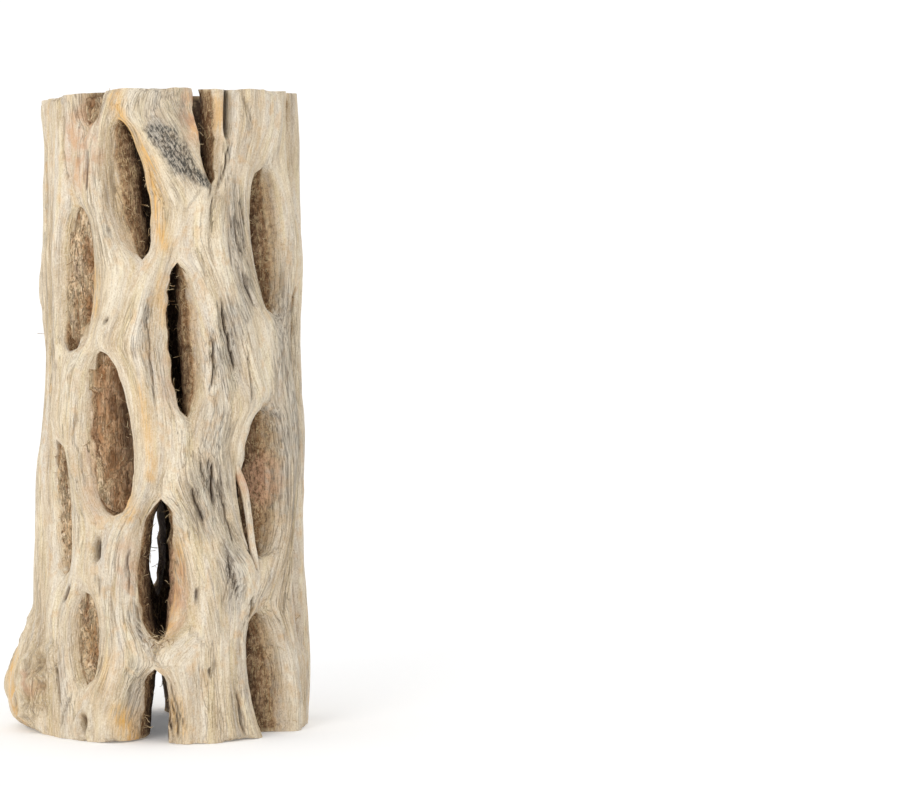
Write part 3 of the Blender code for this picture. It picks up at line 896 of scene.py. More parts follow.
PINK = (
    Oval(58.0, 60.0 * MM, 5 * MM, 7 * MM, 1.0),
    Oval(6.0, 35.5 * MM, 4 * MM, 10 * MM, 0.85),
    Oval(-78.0, 132.0 * MM, 9 * MM, 12 * MM, 0.4),
    Oval(-15.0, 40.5 * MM, 2.5 * MM, 8 * MM, 0.5),
    Oval(-63.0, 12.0 * MM, 4 * MM, 3.6 * MM, 1.0),
    Oval(4.4, 84.6 * MM, 3 * MM, 9 * MM, 0.4),
    Oval(-38.0, 140.0 * MM, 7 * MM, 12 * MM, 0.7),
    Oval(14.6, 146.0 * MM, 3.5 * MM, 8 * MM, 1.0),
    Oval(-30.0, 70.0 * MM, 5 * MM, 20 * MM, 0.5),
)
SOOT = (
    Streak(((-1.0, 141.5), (3.5, 139.5)), 2.9, 1.0),
    Streak(((4.0, 140.5), (5.5, 138.0), (10.0, 134.5)), 3.5, 1.0),
    Streak(((9.0, 134.5), (15.0, 132.3), (21.5, 130.0)), 1.8, 0.95),
)


print(len(GREY_STAINS_AND_RIGHT_SHADE), "grey,", len(OCHRE), "ochre,", len(PINK), "pink and", len(SOOT), "soot marks")


# %% How strong a stain is
def stain(angle, height, marks):
    total = np.zeros(len(angle))
    for mark in marks:
        if isinstance(mark, Oval):
            shape = np.sqrt(within(angle, height, mark))
        else:
            distance, _ = path_distance(angle, height, mark.path)
            shape = np.exp(-((distance / (mark.half_width * MM)) ** 2))
        total = np.maximum(total, shape * mark.strength)
    return total


stained = {
    name: stain(point_angle, point_height, marks)
    for name, marks in (("grey", GREY_STAINS_AND_RIGHT_SHADE), ("ochre", OCHRE), ("pink", PINK), ("soot", SOOT))
}
print({name: f"{(strength > 0.2).mean():.1%} of the points" for name, strength in stained.items()})

# %% Store the attributes
RIDGE_SPAN = 0.9 * MM
WORN_IN_FULL = 3 * MM


def store(mesh, name, values):
    kind, field = ("FLOAT_VECTOR", "vector") if values.ndim == 2 else ("FLOAT", "value")
    attribute = mesh.attributes.new(name, kind, "POINT")
    attribute.data.foreach_set(field, values.astype(np.float32).ravel())


def spread(values, fill=0.0):
    """Values of the face's points, carried on to the points below them."""
    full = np.full(point_count, fill)
    full[: len(values)] = values
    for spoke in spokes[1:]:
        below = spoke >= 0
        full[spoke[below]] = values[below] if fill == 0.0 else fill
    return full


def in_fibre_space(grain):
    """Where the points would lie if the log had no windows."""
    return np.stack([np.cos(grain) * point_radius, np.sin(grain) * point_radius, point_height], axis=-1)


store(wood_mesh, "fibre", in_fibre_space(point_grain))
point_slanted = point_grain.copy()
for spoke in spokes:
    kept = spoke >= 0
    point_slanted[spoke[kept]] = slanted_angle[kept]
store(wood_mesh, "slanted_fibre", in_fibre_space(point_slanted))
store(wood_mesh, "slant", spread(slant_share))
store(wood_mesh, "depth", point_depth)
store(wood_mesh, "crack", spread(crack_of))
store(wood_mesh, "knot", spread(knot_of))
store(wood_mesh, "ridge", spread(np.clip(ridges / RIDGE_SPAN + 0.5, 0.001, 1)))
store(wood_mesh, "worn", spread(np.clip(worn_of / WORN_IN_FULL, 0.001, 1)))
for name, strength in stained.items():
    store(wood_mesh, name, strength)
sawn = np.zeros(point_count)
for spoke in spokes:
    cut = on_cut & (spoke >= 0)
    sawn[spoke[cut]] = 1.0
store(wood_mesh, "sawn", sawn)
print("Stored:", ", ".join(a.name for a in wood_mesh.attributes if not a.name.startswith(".")))

# %% [markdown]
# ## Colours and nodes
# Every colour is written as a hex value, as it would be picked from a photograph of such wood, and
# one function turns it to the linear values that the renderer needs. One more function adds a node:
# it takes the node's settings, the stops of a colour ramp, and the values or links of its inputs.

# %% Helpers for the finishes
def colour(hex_value):
    """An sRGB hex colour as linear red, green, blue and alpha."""
    channels = (int(hex_value[i : i + 2], 16) / 255 for i in (1, 3, 5))
    return (*(c / 12.92 if c <= 0.04045 else ((c + 0.055) / 1.055) ** 2.4 for c in channels), 1.0)


def add_node(tree, kind, inputs=(), stops=(), **settings):
    """Adds a node, sets it, and sets or links its inputs, by name or by number."""
    made = tree.nodes.new(kind)
    for name, value in settings.items():
        setattr(made, name, value)
    for number, (place, hex_value) in enumerate(stops):
        elements = made.color_ramp.elements
        element = elements[number] if number < len(elements) else elements.new(place)
        element.position, element.color = place, colour(hex_value)
    for socket, value in dict(inputs).items():
        if isinstance(value, bpy.types.NodeSocket):
            tree.links.new(value, made.inputs[socket])
        else:
            made.inputs[socket].default_value = value
    return made


def new_material(name):
    material = bpy.data.materials.new(name)
    material.use_nodes = True
    material.node_tree.nodes.clear()
    return material, material.node_tree


print("Cream wood is", tuple(round(c, 3) for c in colour("#E2D0B0")))

# %% [markdown]
# ## Layers of colour
# Weathered wood gets its look from many thin layers: dust, stains, fine lines, dirt in the cracks.
# So each finish here is a base colour and a table of layers. A layer has a colour, a strength, and
# marks that say where it shows. A mark is a value, such as a noise or an attribute, with the range
# over which it comes in. Thin wavy lines come from two marks that meet where a noise passes through
# its middle value, as a map draws a contour.

# %% Noise, shares and layers
Noise = namedtuple("Noise", "across along seed detail wavy")


def noise_field(tree, pattern, places, crossing=0.0):
    """A noise stretched along the grain. With two places, it crosses over from one to the other."""
    fields = []
    for place in places:
        stretch = Vector((1 / pattern.across, 1 / pattern.across, 1 / pattern.along)) / MM
        moved = {"Vector": place, "Scale": stretch, "Location": [pattern.seed] * 3}
        mapped = add_node(tree, "ShaderNodeMapping", moved).outputs[0]
        look = {"Scale": 1.0, "Detail": pattern.detail, "Roughness": 0.55, "Distortion": pattern.wavy}
        fields.append(add_node(tree, "ShaderNodeTexNoise", {"Vector": mapped, **look}).outputs["Fac"])
    if len(fields) == 1:
        return fields[0]
    both = {0: crossing, 2: fields[0], 3: fields[1]}
    return add_node(tree, "ShaderNodeMix", both, data_type="FLOAT").outputs[0]


def share_of(tree, strength, marks):
    """A strength times its marks. A mark is a value, alone or with its range and what that becomes."""
    share = strength
    for value, *span in marks:
        if span:
            ends = dict(zip((1, 2, 3, 4), span))
            value = add_node(tree, "ShaderNodeMapRange", {0: value, **ends}, clamp=True).outputs[0]
        factors = {0: share, 1: value}
        share = add_node(tree, "ShaderNodeMath", factors, operation="MULTIPLY", use_clamp=True).outputs[0]
    return share


def painted(tree, base, layers):
    """Lays colours over a base, each as strong as its marks let it be."""
    for over, strength, *marks in layers:
        over = colour(over) if isinstance(over, str) else over
        inputs = {0: share_of(tree, strength, marks), 6: base, 7: over}
        base = add_node(tree, "ShaderNodeMix", inputs, data_type="RGBA").outputs[2]
    return base


def weighed_sum(tree, *parts):
    """Adds values, each by its weight."""
    total = 0.0
    for weight, value in parts:
        terms = {0: value, 1: weight, 2: total}
        total = add_node(tree, "ShaderNodeMath", terms, operation="MULTIPLY_ADD").outputs[0]
    return total


def contour(value, full, gone):
    """Two marks for a line along a noise's middle: full up to one distance from it, gone at another."""
    return (value, 0.5 - gone, 0.5 - full), (value, 0.5 + gone, 0.5 + full)


print("A noise is given by its", ", ".join(Noise._fields))

# %% [markdown]
# ## The weathered wood
# Dry cactus wood is a pale, open wood that was never planed or oiled: it is quite matt, cream where
# the sun bleached it, ochre where resin stained it, and silver grey where rain got at it. A wide grey
# mark over the right side is also painted shade. Its vessels show as fine lines along the grain. The
# noises below are read on the fibre attributes, in millimetres across and along the grain. Real
# vessels are about 0.1 mm across, too fine for the picture, so the finest lines are drawn about 0.3
# mm apart.

# %% The wood's noises
wood_material, tree = new_material("weathered_wood")
MARKS = ("slant", "depth", "crack", "knot", "ridge", "worn", "grey", "ochre", "pink", "soot", "sawn")
look = {name: add_node(tree, "ShaderNodeAttribute", attribute_name=name).outputs["Fac"] for name in MARKS}
fibre = add_node(tree, "ShaderNodeAttribute", attribute_name="fibre").outputs["Vector"]
slanted = add_node(tree, "ShaderNodeAttribute", attribute_name="slanted_fibre").outputs["Vector"]
place = add_node(tree, "ShaderNodeTexCoord").outputs["Object"]
ALONG_GRAIN = {
    "vessels": Noise(0.27, 3.4, 0, 2, 0.3),
    "bundles": Noise(0.95, 11, 4, 3, 0.4),
    "hairlines": Noise(1.5, 20, 7, 2, 0.6),
    "close_lines": Noise(0.8, 12, 15, 2, 0.4),
    "hues": Noise(2.6, 26, 21, 2, 0.3),
}
WIDE = {"patches": Noise(7, 30, 9, 3, 0), "zones": Noise(11, 24, 13, 1, 0)}
IN_PLACE = {
    "blotches": Noise(2.4, 3.2, 2, 5, 0),
    "crumbs": Noise(0.9, 1.1, 8, 4, 0),
    "dust": Noise(0.3, 0.4, 5, 2, 0),
    "specks": Noise(0.45, 0.8, 3, 5, 0.4),
    "threads": Noise(1.3, 7, 17, 3, 1.2),
}
for patterns, places in ((ALONG_GRAIN, (fibre, slanted)), (WIDE, (fibre,)), (IN_PLACE, (place,))):
    for name, pattern in patterns.items():
        look[name] = noise_field(tree, pattern, places, look["slant"])
vessels, bundles, patches = look["vessels"], look["bundles"], look["patches"]
blotches, crumbs, dust = look["blotches"], look["crumbs"], look["dust"]
print(len(ALONG_GRAIN) + len(WIDE) + len(IN_PLACE), "noises")

# %% The wood's lines
in_zones = share_of(tree, 1.0, [(look["zones"], 0.42, 0.62, 0.15, 1.0)])
in_zones = weighed_sum(tree, (1.0, in_zones), (0.8, look["grey"]))
hairlines = share_of(tree, 1.0, [*contour(look["hairlines"], 0, 0.03), (in_zones,)])
close_lines = share_of(tree, 1.0, contour(look["close_lines"], 0.01, 0.05))
threads = share_of(tree, 1.0, contour(look["threads"], 0.008, 0.03))
streaks = weighed_sum(tree, (0.35, blotches), (0.65, bundles))
lines = weighed_sum(tree, (0.6, bundles), (0.4, vessels))
in_soot = weighed_sum(tree, (1.0, look["soot"]), (1.0, blotches), (0.5, crumbs))
specks = weighed_sum(tree, (0.6, look["specks"]), (0.4, vessels))
print(len(tree.nodes), "nodes draw the noises and the lines")

# %% Colours of the outer face
FACE_COLOURS = ((0.34, "#D0BA98"), (0.46, "#D8C6A9"), (0.58, "#E0D3BD"), (0.68, "#D6C7B1"))
face = add_node(tree, "ShaderNodeValToRGB", {"Fac": patches}, FACE_COLOURS).outputs[0]
grain_layers = (
    ("#DFCC9A", 0.40, (look["hues"], 0.53, 0.66)),
    ("#CBC4BA", 0.55, (look["hues"], 0.47, 0.34)),
    ("#AB9069", 0.28, (look["ridge"], 0.45, 0.10)),
    ("#ECE2CA", 0.28, (look["ridge"], 0.50, 0.95)),
    ("#AB8F6A", 0.26, (bundles, 0.50, 0.30)),
    ("#EADFC8", 0.24, (bundles, 0.54, 0.72)),
    ("#937656", 0.34, (vessels, 0.48, 0.28)),
    ("#F4ECDC", 0.38, (vessels, 0.52, 0.70)),
    ("#97795A", 0.40, (dust, 0.46, 0.28)),
    ("#F8F1E2", 0.34, (dust, 0.54, 0.70)),
    ("#6E5843", 0.44, (hairlines,)),
)
stain_layers = (
    ("#E2AE5C", 1.00, (look["ochre"],), (streaks, 0.40, 0.58, 0.12, 0.95)),
    ("#DDB176", 0.35, (patches, 0.46, 0.60), (blotches, 0.50, 0.64)),
    ("#CB9A78", 0.80, (look["pink"],), (blotches, 0.34, 0.60)),
    # Grey weathering; where the grey mark covers the right side it is also painted shade
    ("#BAB3A8", 0.45, (look["grey"],)),
    ("#857B6E", 0.45, (look["grey"],), (lines, 0.56, 0.42)),
    ("#4E463E", 0.85, (look["grey"],), (close_lines,)),
    ("#938A7E", 0.35, (patches, 0.48, 0.36), (lines, 0.56, 0.42)),
    ("#9B958A", 0.60, (in_soot, 1.05, 1.45)),
    ("#33322F", 0.90, (in_soot, 1.05, 1.45), (specks, 0.58, 0.44)),
    ("#9C845C", 1.00, (look["knot"],), (blotches, 0.30, 0.60, 0.35, 0.80)),
    # Painted shade in the cracks
    ("#4A3829", 0.92, (look["crack"], 0.12, 0.90)),
)
face = painted(tree, face, grain_layers + stain_layers)
print(len(grain_layers), "layers of grain and", len(stain_layers), "of stain")

# %% Colours of the walls, with their painted shade, and the saw cuts
# Brown wood that darkens with depth to near black at the core, and pale crumbs and threads that fade with
# depth: that darkening is painted shade
WALL_BROWN_AND_DEPTH_SHADE = ((0.0, "#B8956B"), (0.10, "#8A6846"), (0.34, "#5F432D"), (1.0, "#33241A"))
wall = add_node(tree, "ShaderNodeValToRGB", {"Fac": look["depth"]}, WALL_BROWN_AND_DEPTH_SHADE).outputs[0]
near_face = (look["depth"], 0.1, 0.8, 1.0, 0.25)
wall_layers = (
    ("#B69A7B", 0.50, (blotches, 0.50, 0.68), near_face),
    ("#BB9E7C", 0.50, (bundles, 0.54, 0.70), near_face),
    ("#B89771", 0.40, (dust, 0.52, 0.70), near_face),
    ("#CDB08A", 0.60, (crumbs, 0.52, 0.66), near_face),
    ("#CDB389", 1.00, (threads,), near_face),
    ("#CFA283", 1.00, (look["pink"],), (crumbs, 0.36, 0.56, 0.10, 0.80)),
    ("#4A3322", 0.60, (crumbs, 0.48, 0.34)),
    ("#46301F", 0.55, (blotches, 0.48, 0.32)),
    ("#3E2B1E", 0.60, (dust, 0.48, 0.28)),
)
wall = painted(tree, wall, wall_layers)
face = painted(tree, face, [(wall, 1.0, (look["worn"], 0.25, 1.0), (blotches, 0.30, 0.55, 0.35, 0.85))])
cut_layers = (
    ("#E2CFAB", 1.00, (vessels, 0.34, 0.60)),
    ("#C9B38C", 0.55, (blotches, 0.46, 0.60)),
    ("#8E7150", 0.45, (blotches, 0.48, 0.34)),
    ("#7A5C3E", 0.55, (look["depth"], 0.45, 0.95)),
    ("#6A4E36", 0.60, (threads,)),
)
cut = painted(tree, colour("#A58560"), cut_layers)
wall = painted(tree, wall, [(cut, 1.0, (look["sawn"],))])
uneven_depth = weighed_sum(tree, (1.0, look["depth"]), (0.06, blotches))
inside = share_of(tree, 1.0, [(uneven_depth, 0.03, 0.10)])
surface = painted(tree, face, [(wall, 1.0, (inside,))])
print(len(wall_layers), "layers on the walls and", len(cut_layers), "on the saw cuts")

# %% Relief and shader of the wood
GRAIN_HEIGHT = 0.25 * MM
torn = share_of(tree, 0.7, [(weighed_sum(tree, (1.0, crumbs), (0.4, threads)),), (inside,)])
relief = weighed_sum(tree, (1, vessels), (1, bundles), (0.5, dust), (1, torn), (-0.7, hairlines))
bump = add_node(tree, "ShaderNodeBump", {"Strength": 1.0, "Distance": GRAIN_HEIGHT, "Height": relief})
dull = share_of(tree, 1.0, [(vessels, 0.3, 0.7, 0.95, 0.8)])
wood_shader = {"Base Color": surface, "Roughness": dull, "Normal": bump.outputs[0], "IOR": 1.5}
shader = add_node(tree, "ShaderNodeBsdfPrincipled", {**wood_shader, "Specular IOR Level": 0.25})
add_node(tree, "ShaderNodeOutputMaterial", {"Surface": shader.outputs[0]})
wood_mesh.materials.append(wood_material)
print("The wood's finish has", len(tree.nodes), "nodes")

# %% [markdown]
# ## A strand torn loose
# In the middle window on the right, one bundle of fibres has come away from the bank and bridges the
# opening as a thin strand. A narrow slot lies between it and the bank. It is a tapered tube, carried
# down the log from point to point, and its tips run into the wood.

# %% The torn strand
TORN_STRAND = (
    (33.5, 66.0, 0.35), (35.2, 63.4, 0.75), (37.2, 60.8, 1.05), (39.4, 57.4, 0.95),
    (40.9, 53.0, 0.80), (42.2, 48.5, 0.80), (43.6, 44.0, 0.85), (45.6, 40.2, 0.75), (48.0, 37.0, 0.30),
)
STRAND_SINK = 1.3 * MM
STRAND_AROUND, STRAND_ALONG = 16, 72
print(f"The strand is {2 * max(width for _, _, width in TORN_STRAND):.1f} mm wide at most")


# %% Points of the torn strand
def torn_strand():
    """Places on the log and places along the fibre for a tube that follows the path."""
    path = np.array(TORN_STRAND)
    shares = np.linspace(0, len(path) - 1, STRAND_ALONG)
    angles, heights, widths = (np.interp(shares, range(len(path)), path[:, k]) for k in range(3))
    for _ in range(8):
        angles[1:-1] = (angles[:-2] + 2 * angles[1:-1] + angles[2:]) / 4
    places, fibres = [], []
    for step in range(STRAND_ALONG):
        for turn in np.linspace(0, 2 * math.pi, STRAND_AROUND, endpoint=False):
            ridge = 1 + 0.14 * noise.noise(Vector((turn * 1.7, heights[step] / 2.5, 5.0)))
            across = widths[step] * MM * math.cos(turn) * ridge
            out = widths[step] * MM * 1.15 * math.sin(turn) * ridge
            radius = MEAN_RADIUS - STRAND_SINK + out
            places.append((math.radians(angles[step]) + across / MEAN_RADIUS, radius, heights[step] * MM))
            fibres.append((across, out, heights[step] * MM))
    return np.array(places), np.array(fibres)


strand_places, strand_fibres = torn_strand()
print(f"{len(strand_places)} points on the torn strand")


# %% Skin the torn strand
def face_outwards(mesh):
    """Turns the faces of a closed mesh so that their normals point out of it."""
    turned_mesh = bmesh.new()
    turned_mesh.from_mesh(mesh)
    bmesh.ops.recalc_face_normals(turned_mesh, faces=turned_mesh.faces[:])
    turned_mesh.to_mesh(mesh)
    turned_mesh.free()


strand_faces = []
for step in range(STRAND_ALONG - 1):
    for turn in range(STRAND_AROUND):
        a, b = step * STRAND_AROUND + turn, step * STRAND_AROUND + (turn + 1) % STRAND_AROUND
        strand_faces.append((a, b, b + STRAND_AROUND, a + STRAND_AROUND))
strand_faces.append(tuple(range(STRAND_AROUND - 1, -1, -1)))
strand_faces.append(tuple((STRAND_ALONG - 1) * STRAND_AROUND + turn for turn in range(STRAND_AROUND)))
strand_mesh = mesh_of("torn_strand", on_log(*strand_places.T), strand_faces)
face_outwards(strand_mesh)
store(strand_mesh, "fibre", strand_fibres)
store(strand_mesh, "slanted_fibre", strand_fibres)
store(strand_mesh, "ridge", np.full(len(strand_places), 0.55))
store(strand_mesh, "pink", np.clip(1 - abs(strand_places[:, 2] - 60.5 * MM) / (3.5 * MM), 0, 1))
strand_mesh.materials.append(wood_material)
strand = new_object("torn_strand", strand_mesh)
print("The torn strand has", len(strand_faces), "faces")

# %% [markdown]
# ## The dried pith
# In some windows the soft pith dried before it could fall out. It is brown and fibrous, with a torn
# surface, and it shrank as it dried: it still clings high on the banks and sinks to its full depth
# in the middle. Each fill is a closed lump with such a bowl for its front, and its edge runs on
# into the banks. In the large window it clings to the left bank alone, so its bowl is tipped.

# %% Sizes of the pith
PITH_THICKNESS = 4.0 * MM
PITH_OVERLAP = 2.8 * MM
PITH_RECESS = 1.2 * MM
PITH_LEAST_DEPTH = 3.0 * MM
PITH_BOWL = 0.55
PITH_TIPPED = {"left_large": 0.45, "left_upper": 0.15, "left_middle": 0.1}
PITH_FOLDS = Relief(2.6 * MM, 12 * MM, 1.5 * MM)
PITH_FIBRES = Relief(1.1 * MM, 4.5 * MM, 0.9 * MM)
PITH_CRUMBS = Relief(0.7 * MM, 1.1 * MM, 0.7 * MM)
PITH_AROUND, PITH_ALONG = 80, 84
print(f"A lump of pith is {PITH_THICKNESS / MM:.0f} mm thick and has {PITH_AROUND * PITH_ALONG} points")


# %% A lump of pith
def pith_lump(slit):
    """A lump's points and faces, from one tip of its window to the other, or to the saw cut."""
    window = slit.window
    reach = window.half_length + PITH_OVERLAP
    lowest = max(-1.0, (PITH_RECESS - window.height) / reach)
    highest = min(1.0, (LENGTH - PITH_RECESS - window.height) / reach)
    first, last = math.acos(-lowest), math.acos(-highest)
    points, skin = [], []
    for ring in range(1, PITH_ALONG):
        polar = first + (last - first) * ring / PITH_ALONG
        for step in range(PITH_AROUND):
            turn = 2 * math.pi * step / PITH_AROUND
            aside, inward = math.sin(polar) * math.cos(turn), math.sin(polar) * math.sin(turn)
            points.append(Vector((aside, inward, -math.cos(polar))))
    points += [Vector((0, 0.5 * math.sin(polar), -math.cos(polar))) for polar in (first, last)]
    places, sunk, folds = [], [], []
    for unit in points:
        height = window.height + unit.z * reach
        across = unit.x * (window.half_width + PITH_OVERLAP)
        from_middle = math.hypot(unit.x, unit.z)
        bowl = 1 - PITH_BOWL * from_middle**2
        tip = PITH_TIPPED.get(window.name, 0.0) * unit.x
        depth = max(PITH_LEAST_DEPTH, window.pith * (bowl + tip))
        depth += 2.0 * MM * abs(unit.z) ** 6 + PITH_THICKNESS * max(0.0, unit.y)
        relief = 0.0
        for seed, torn in enumerate((PITH_FOLDS, PITH_FIBRES, PITH_CRUMBS)):
            sideways = across / torn.across + window.angle
            spot = Vector((sideways, unit.y * (seed + 1), height / torn.along + 50 * seed))
            value = noise.noise(spot)
            relief += torn.height * (0.35 - abs(2.4 * value) if seed == 0 else value)
        radius = RADIUS_AT_BOTTOM + (RADIUS_AT_TOP - RADIUS_AT_BOTTOM) * height / LENGTH - depth
        angle = float(slit.centre(height)) + across / MEAN_RADIUS
        places.append((angle, radius + relief * abs(unit.y), height))
        # sunk: how deep the pith lies, which the finish turns into painted shade
        sunk.append(min(1.0, max(0.0, (depth - relief - 3 * MM) / (7 * MM))))
        folds.append(min(1.0, max(0.001, 0.55 + relief / (2.2 * MM))))
    for ring in range(PITH_ALONG - 2):
        for step in range(PITH_AROUND):
            a, b = ring * PITH_AROUND + step, ring * PITH_AROUND + (step + 1) % PITH_AROUND
            skin.append((a, b, b + PITH_AROUND, a + PITH_AROUND))
    bottom, top, last_ring = len(points) - 2, len(points) - 1, (PITH_ALONG - 2) * PITH_AROUND
    for step in range(PITH_AROUND):
        nxt = (step + 1) % PITH_AROUND
        skin.append((bottom, nxt, step))
        skin.append((top, last_ring + step, last_ring + nxt))
    return places, skin, sunk, folds


print("The lump of the large window has", len(pith_lump(slits[2])[1]), "faces")

# %% Fill the windows
pith_places, pith_faces, pith_sunk, pith_folds = [], [], [], []
for slit in slits:
    if slit.window.pith is not None:
        places, skin, sunk, folds = pith_lump(slit)
        start = len(pith_places)
        pith_places += places
        pith_sunk += sunk
        pith_folds += folds
        pith_faces += [tuple(start + corner for corner in face) for face in skin]
pith_places = np.array(pith_places)
pith_mesh = mesh_of("dried_pith", on_log(*pith_places.T), pith_faces)
face_outwards(pith_mesh)
store(pith_mesh, "sunk", np.array(pith_sunk))
store(pith_mesh, "fold", np.array(pith_folds))
pith = new_object("dried_pith", pith_mesh)
print(f"{sum(s.window.pith is not None for s in slits)} windows keep their pith")

# %% [markdown]
# ## The pith's finish
# Dried pith is cork-like: dull, a dusty grey brown, made of crumbs, with pale threads and dark
# cracks. Where its relief stands out it gets a painted highlight, and in its pits painted shade.

# %% The dried pith's finish
PITH_HEIGHT = 0.65 * MM
PITH_NOISES = {
    "crumbs": Noise(0.9, 1.1, 1, 5, 0),
    "fibres": Noise(0.4, 3.6, 0, 4, 0),
    "clumps": Noise(4, 9, 6, 3, 0),
    "threads": Noise(1.3, 7, 18, 4, 1.5),
    "cracks": Noise(1.3, 7, 19, 4, 1.5),
}
pith_material, tree = new_material("dried_pith")
place = add_node(tree, "ShaderNodeTexCoord").outputs["Object"]
look = {name: noise_field(tree, pattern, [place]) for name, pattern in PITH_NOISES.items()}
for name in ("fold", "sunk"):
    look[name] = add_node(tree, "ShaderNodeAttribute", attribute_name=name).outputs["Fac"]
crumbly = weighed_sum(tree, (0.6, look["crumbs"]), (0.4, look["fibres"]))
threads = share_of(tree, 1.0, contour(look["threads"], 0.008, 0.035))
cracks = share_of(tree, 1.0, contour(look["cracks"], 0.006, 0.03))
PITH_COLOURS = ((0.34, "#83664A"), (0.43, "#BA9A78"), (0.53, "#DABE9A"), (0.66, "#EEDDC2"))
brown = add_node(tree, "ShaderNodeValToRGB", {"Fac": crumbly}, PITH_COLOURS).outputs[0]
pith_layers = (
    ("#B0854F", 0.45, (look["clumps"], 0.50, 0.70)),
    ("#B0A696", 0.45, (look["clumps"], 0.46, 0.32)),
    ("#5C4029", 0.55, (cracks,)),
    ("#E0CBA4", 0.75, (threads,)),
    # Painted highlight on the crests of the pith's relief, and painted shade in its hollows
    ("#D8C09A", 0.55, (look["fold"], 0.62, 0.95)),
    ("#5E442C", 0.50, (look["fold"], 0.46, 0.08)),
    # Redder where the pith lies a little deeper, and painted shade, near black, where it lies deepest
    ("#B47C4C", 0.50, (look["sunk"], 0.10, 0.45)),
    ("#3A281C", 0.80, (look["sunk"], 0.50, 1.00)),
)
brown = painted(tree, brown, pith_layers)
relief = weighed_sum(tree, (1, crumbly), (0.3, threads), (-0.4, cracks))
bump = add_node(tree, "ShaderNodeBump", {"Strength": 1.0, "Distance": PITH_HEIGHT, "Height": relief})
pith_shader = {"Base Color": brown, "Roughness": 0.92, "Normal": bump.outputs[0], "IOR": 1.45}
shader = add_node(tree, "ShaderNodeBsdfPrincipled", {**pith_shader, "Specular IOR Level": 0.2})
add_node(tree, "ShaderNodeOutputMaterial", {"Surface": shader.outputs[0]})
pith_mesh.materials.append(pith_material)
print("The pith has", len(pith_mesh.polygons), "faces")

# %% [markdown]
# ## Loose fibres
# Fine fibres have come loose along the rims and walls of the windows and on the pith, and stand out
# like stubble. There are over a thousand, so Geometry Nodes scatter them. A few bent fibres are
# made once, from a curve with a three-sided profile. Points are scattered where the fray attribute
# is high, and each gets one of those fibres with its own turn and length. The tree ends in real
# geometry with its material set, and is then made a plain mesh, because an export keeps no instances.

# %% Where the wood frays
fray = np.clip(1 - abs(point_depth - 0.16) / 0.22, 0, 1) * (point_depth > 0) + 0.05 * (point_depth == 1)
fray = np.maximum(fray, 0.35 * spread(np.clip(worn_of / WORN_IN_FULL, 0, 1)))
fray[: len(face_of)] = np.maximum(fray[: len(face_of)], 0.12 * np.clip(1 - nearest_rim / (0.8 * MM), 0, 1))
fray *= (sawn == 0) & (point_height > 3 * MM) & (point_height < LENGTH - 6 * MM)
tuft = Oval(-1.0, 23.6 * MM, 4 * MM, 2.4 * MM, 1.0)
fray = np.maximum(fray, 7.0 * within(point_angle, point_height, tuft) * (point_depth < 0.3))
gap = Oval(-9.0, 45.0 * MM, 6 * MM, 6 * MM, 1.0)
in_the_wall = (point_depth > 0.3) & (point_depth < 1)
fray = np.maximum(fray, 2.0 * within(point_angle, point_height, gap) * in_the_wall)
store(wood_mesh, "fray", fray)
store(pith_mesh, "fray", np.full(len(pith_mesh.vertices), 1.0))
print(f"{(fray > 0.5).sum()} points of the wood are frayed")


# %% The tree that scatters fibres
FIBRE_BENDS = ((0.10, 0.05), (0.35, -0.15), (-0.25, 0.30), (0.05, -0.40))
LIES_OVER_BY = 1.3
A_FULL_TURN = 6.3


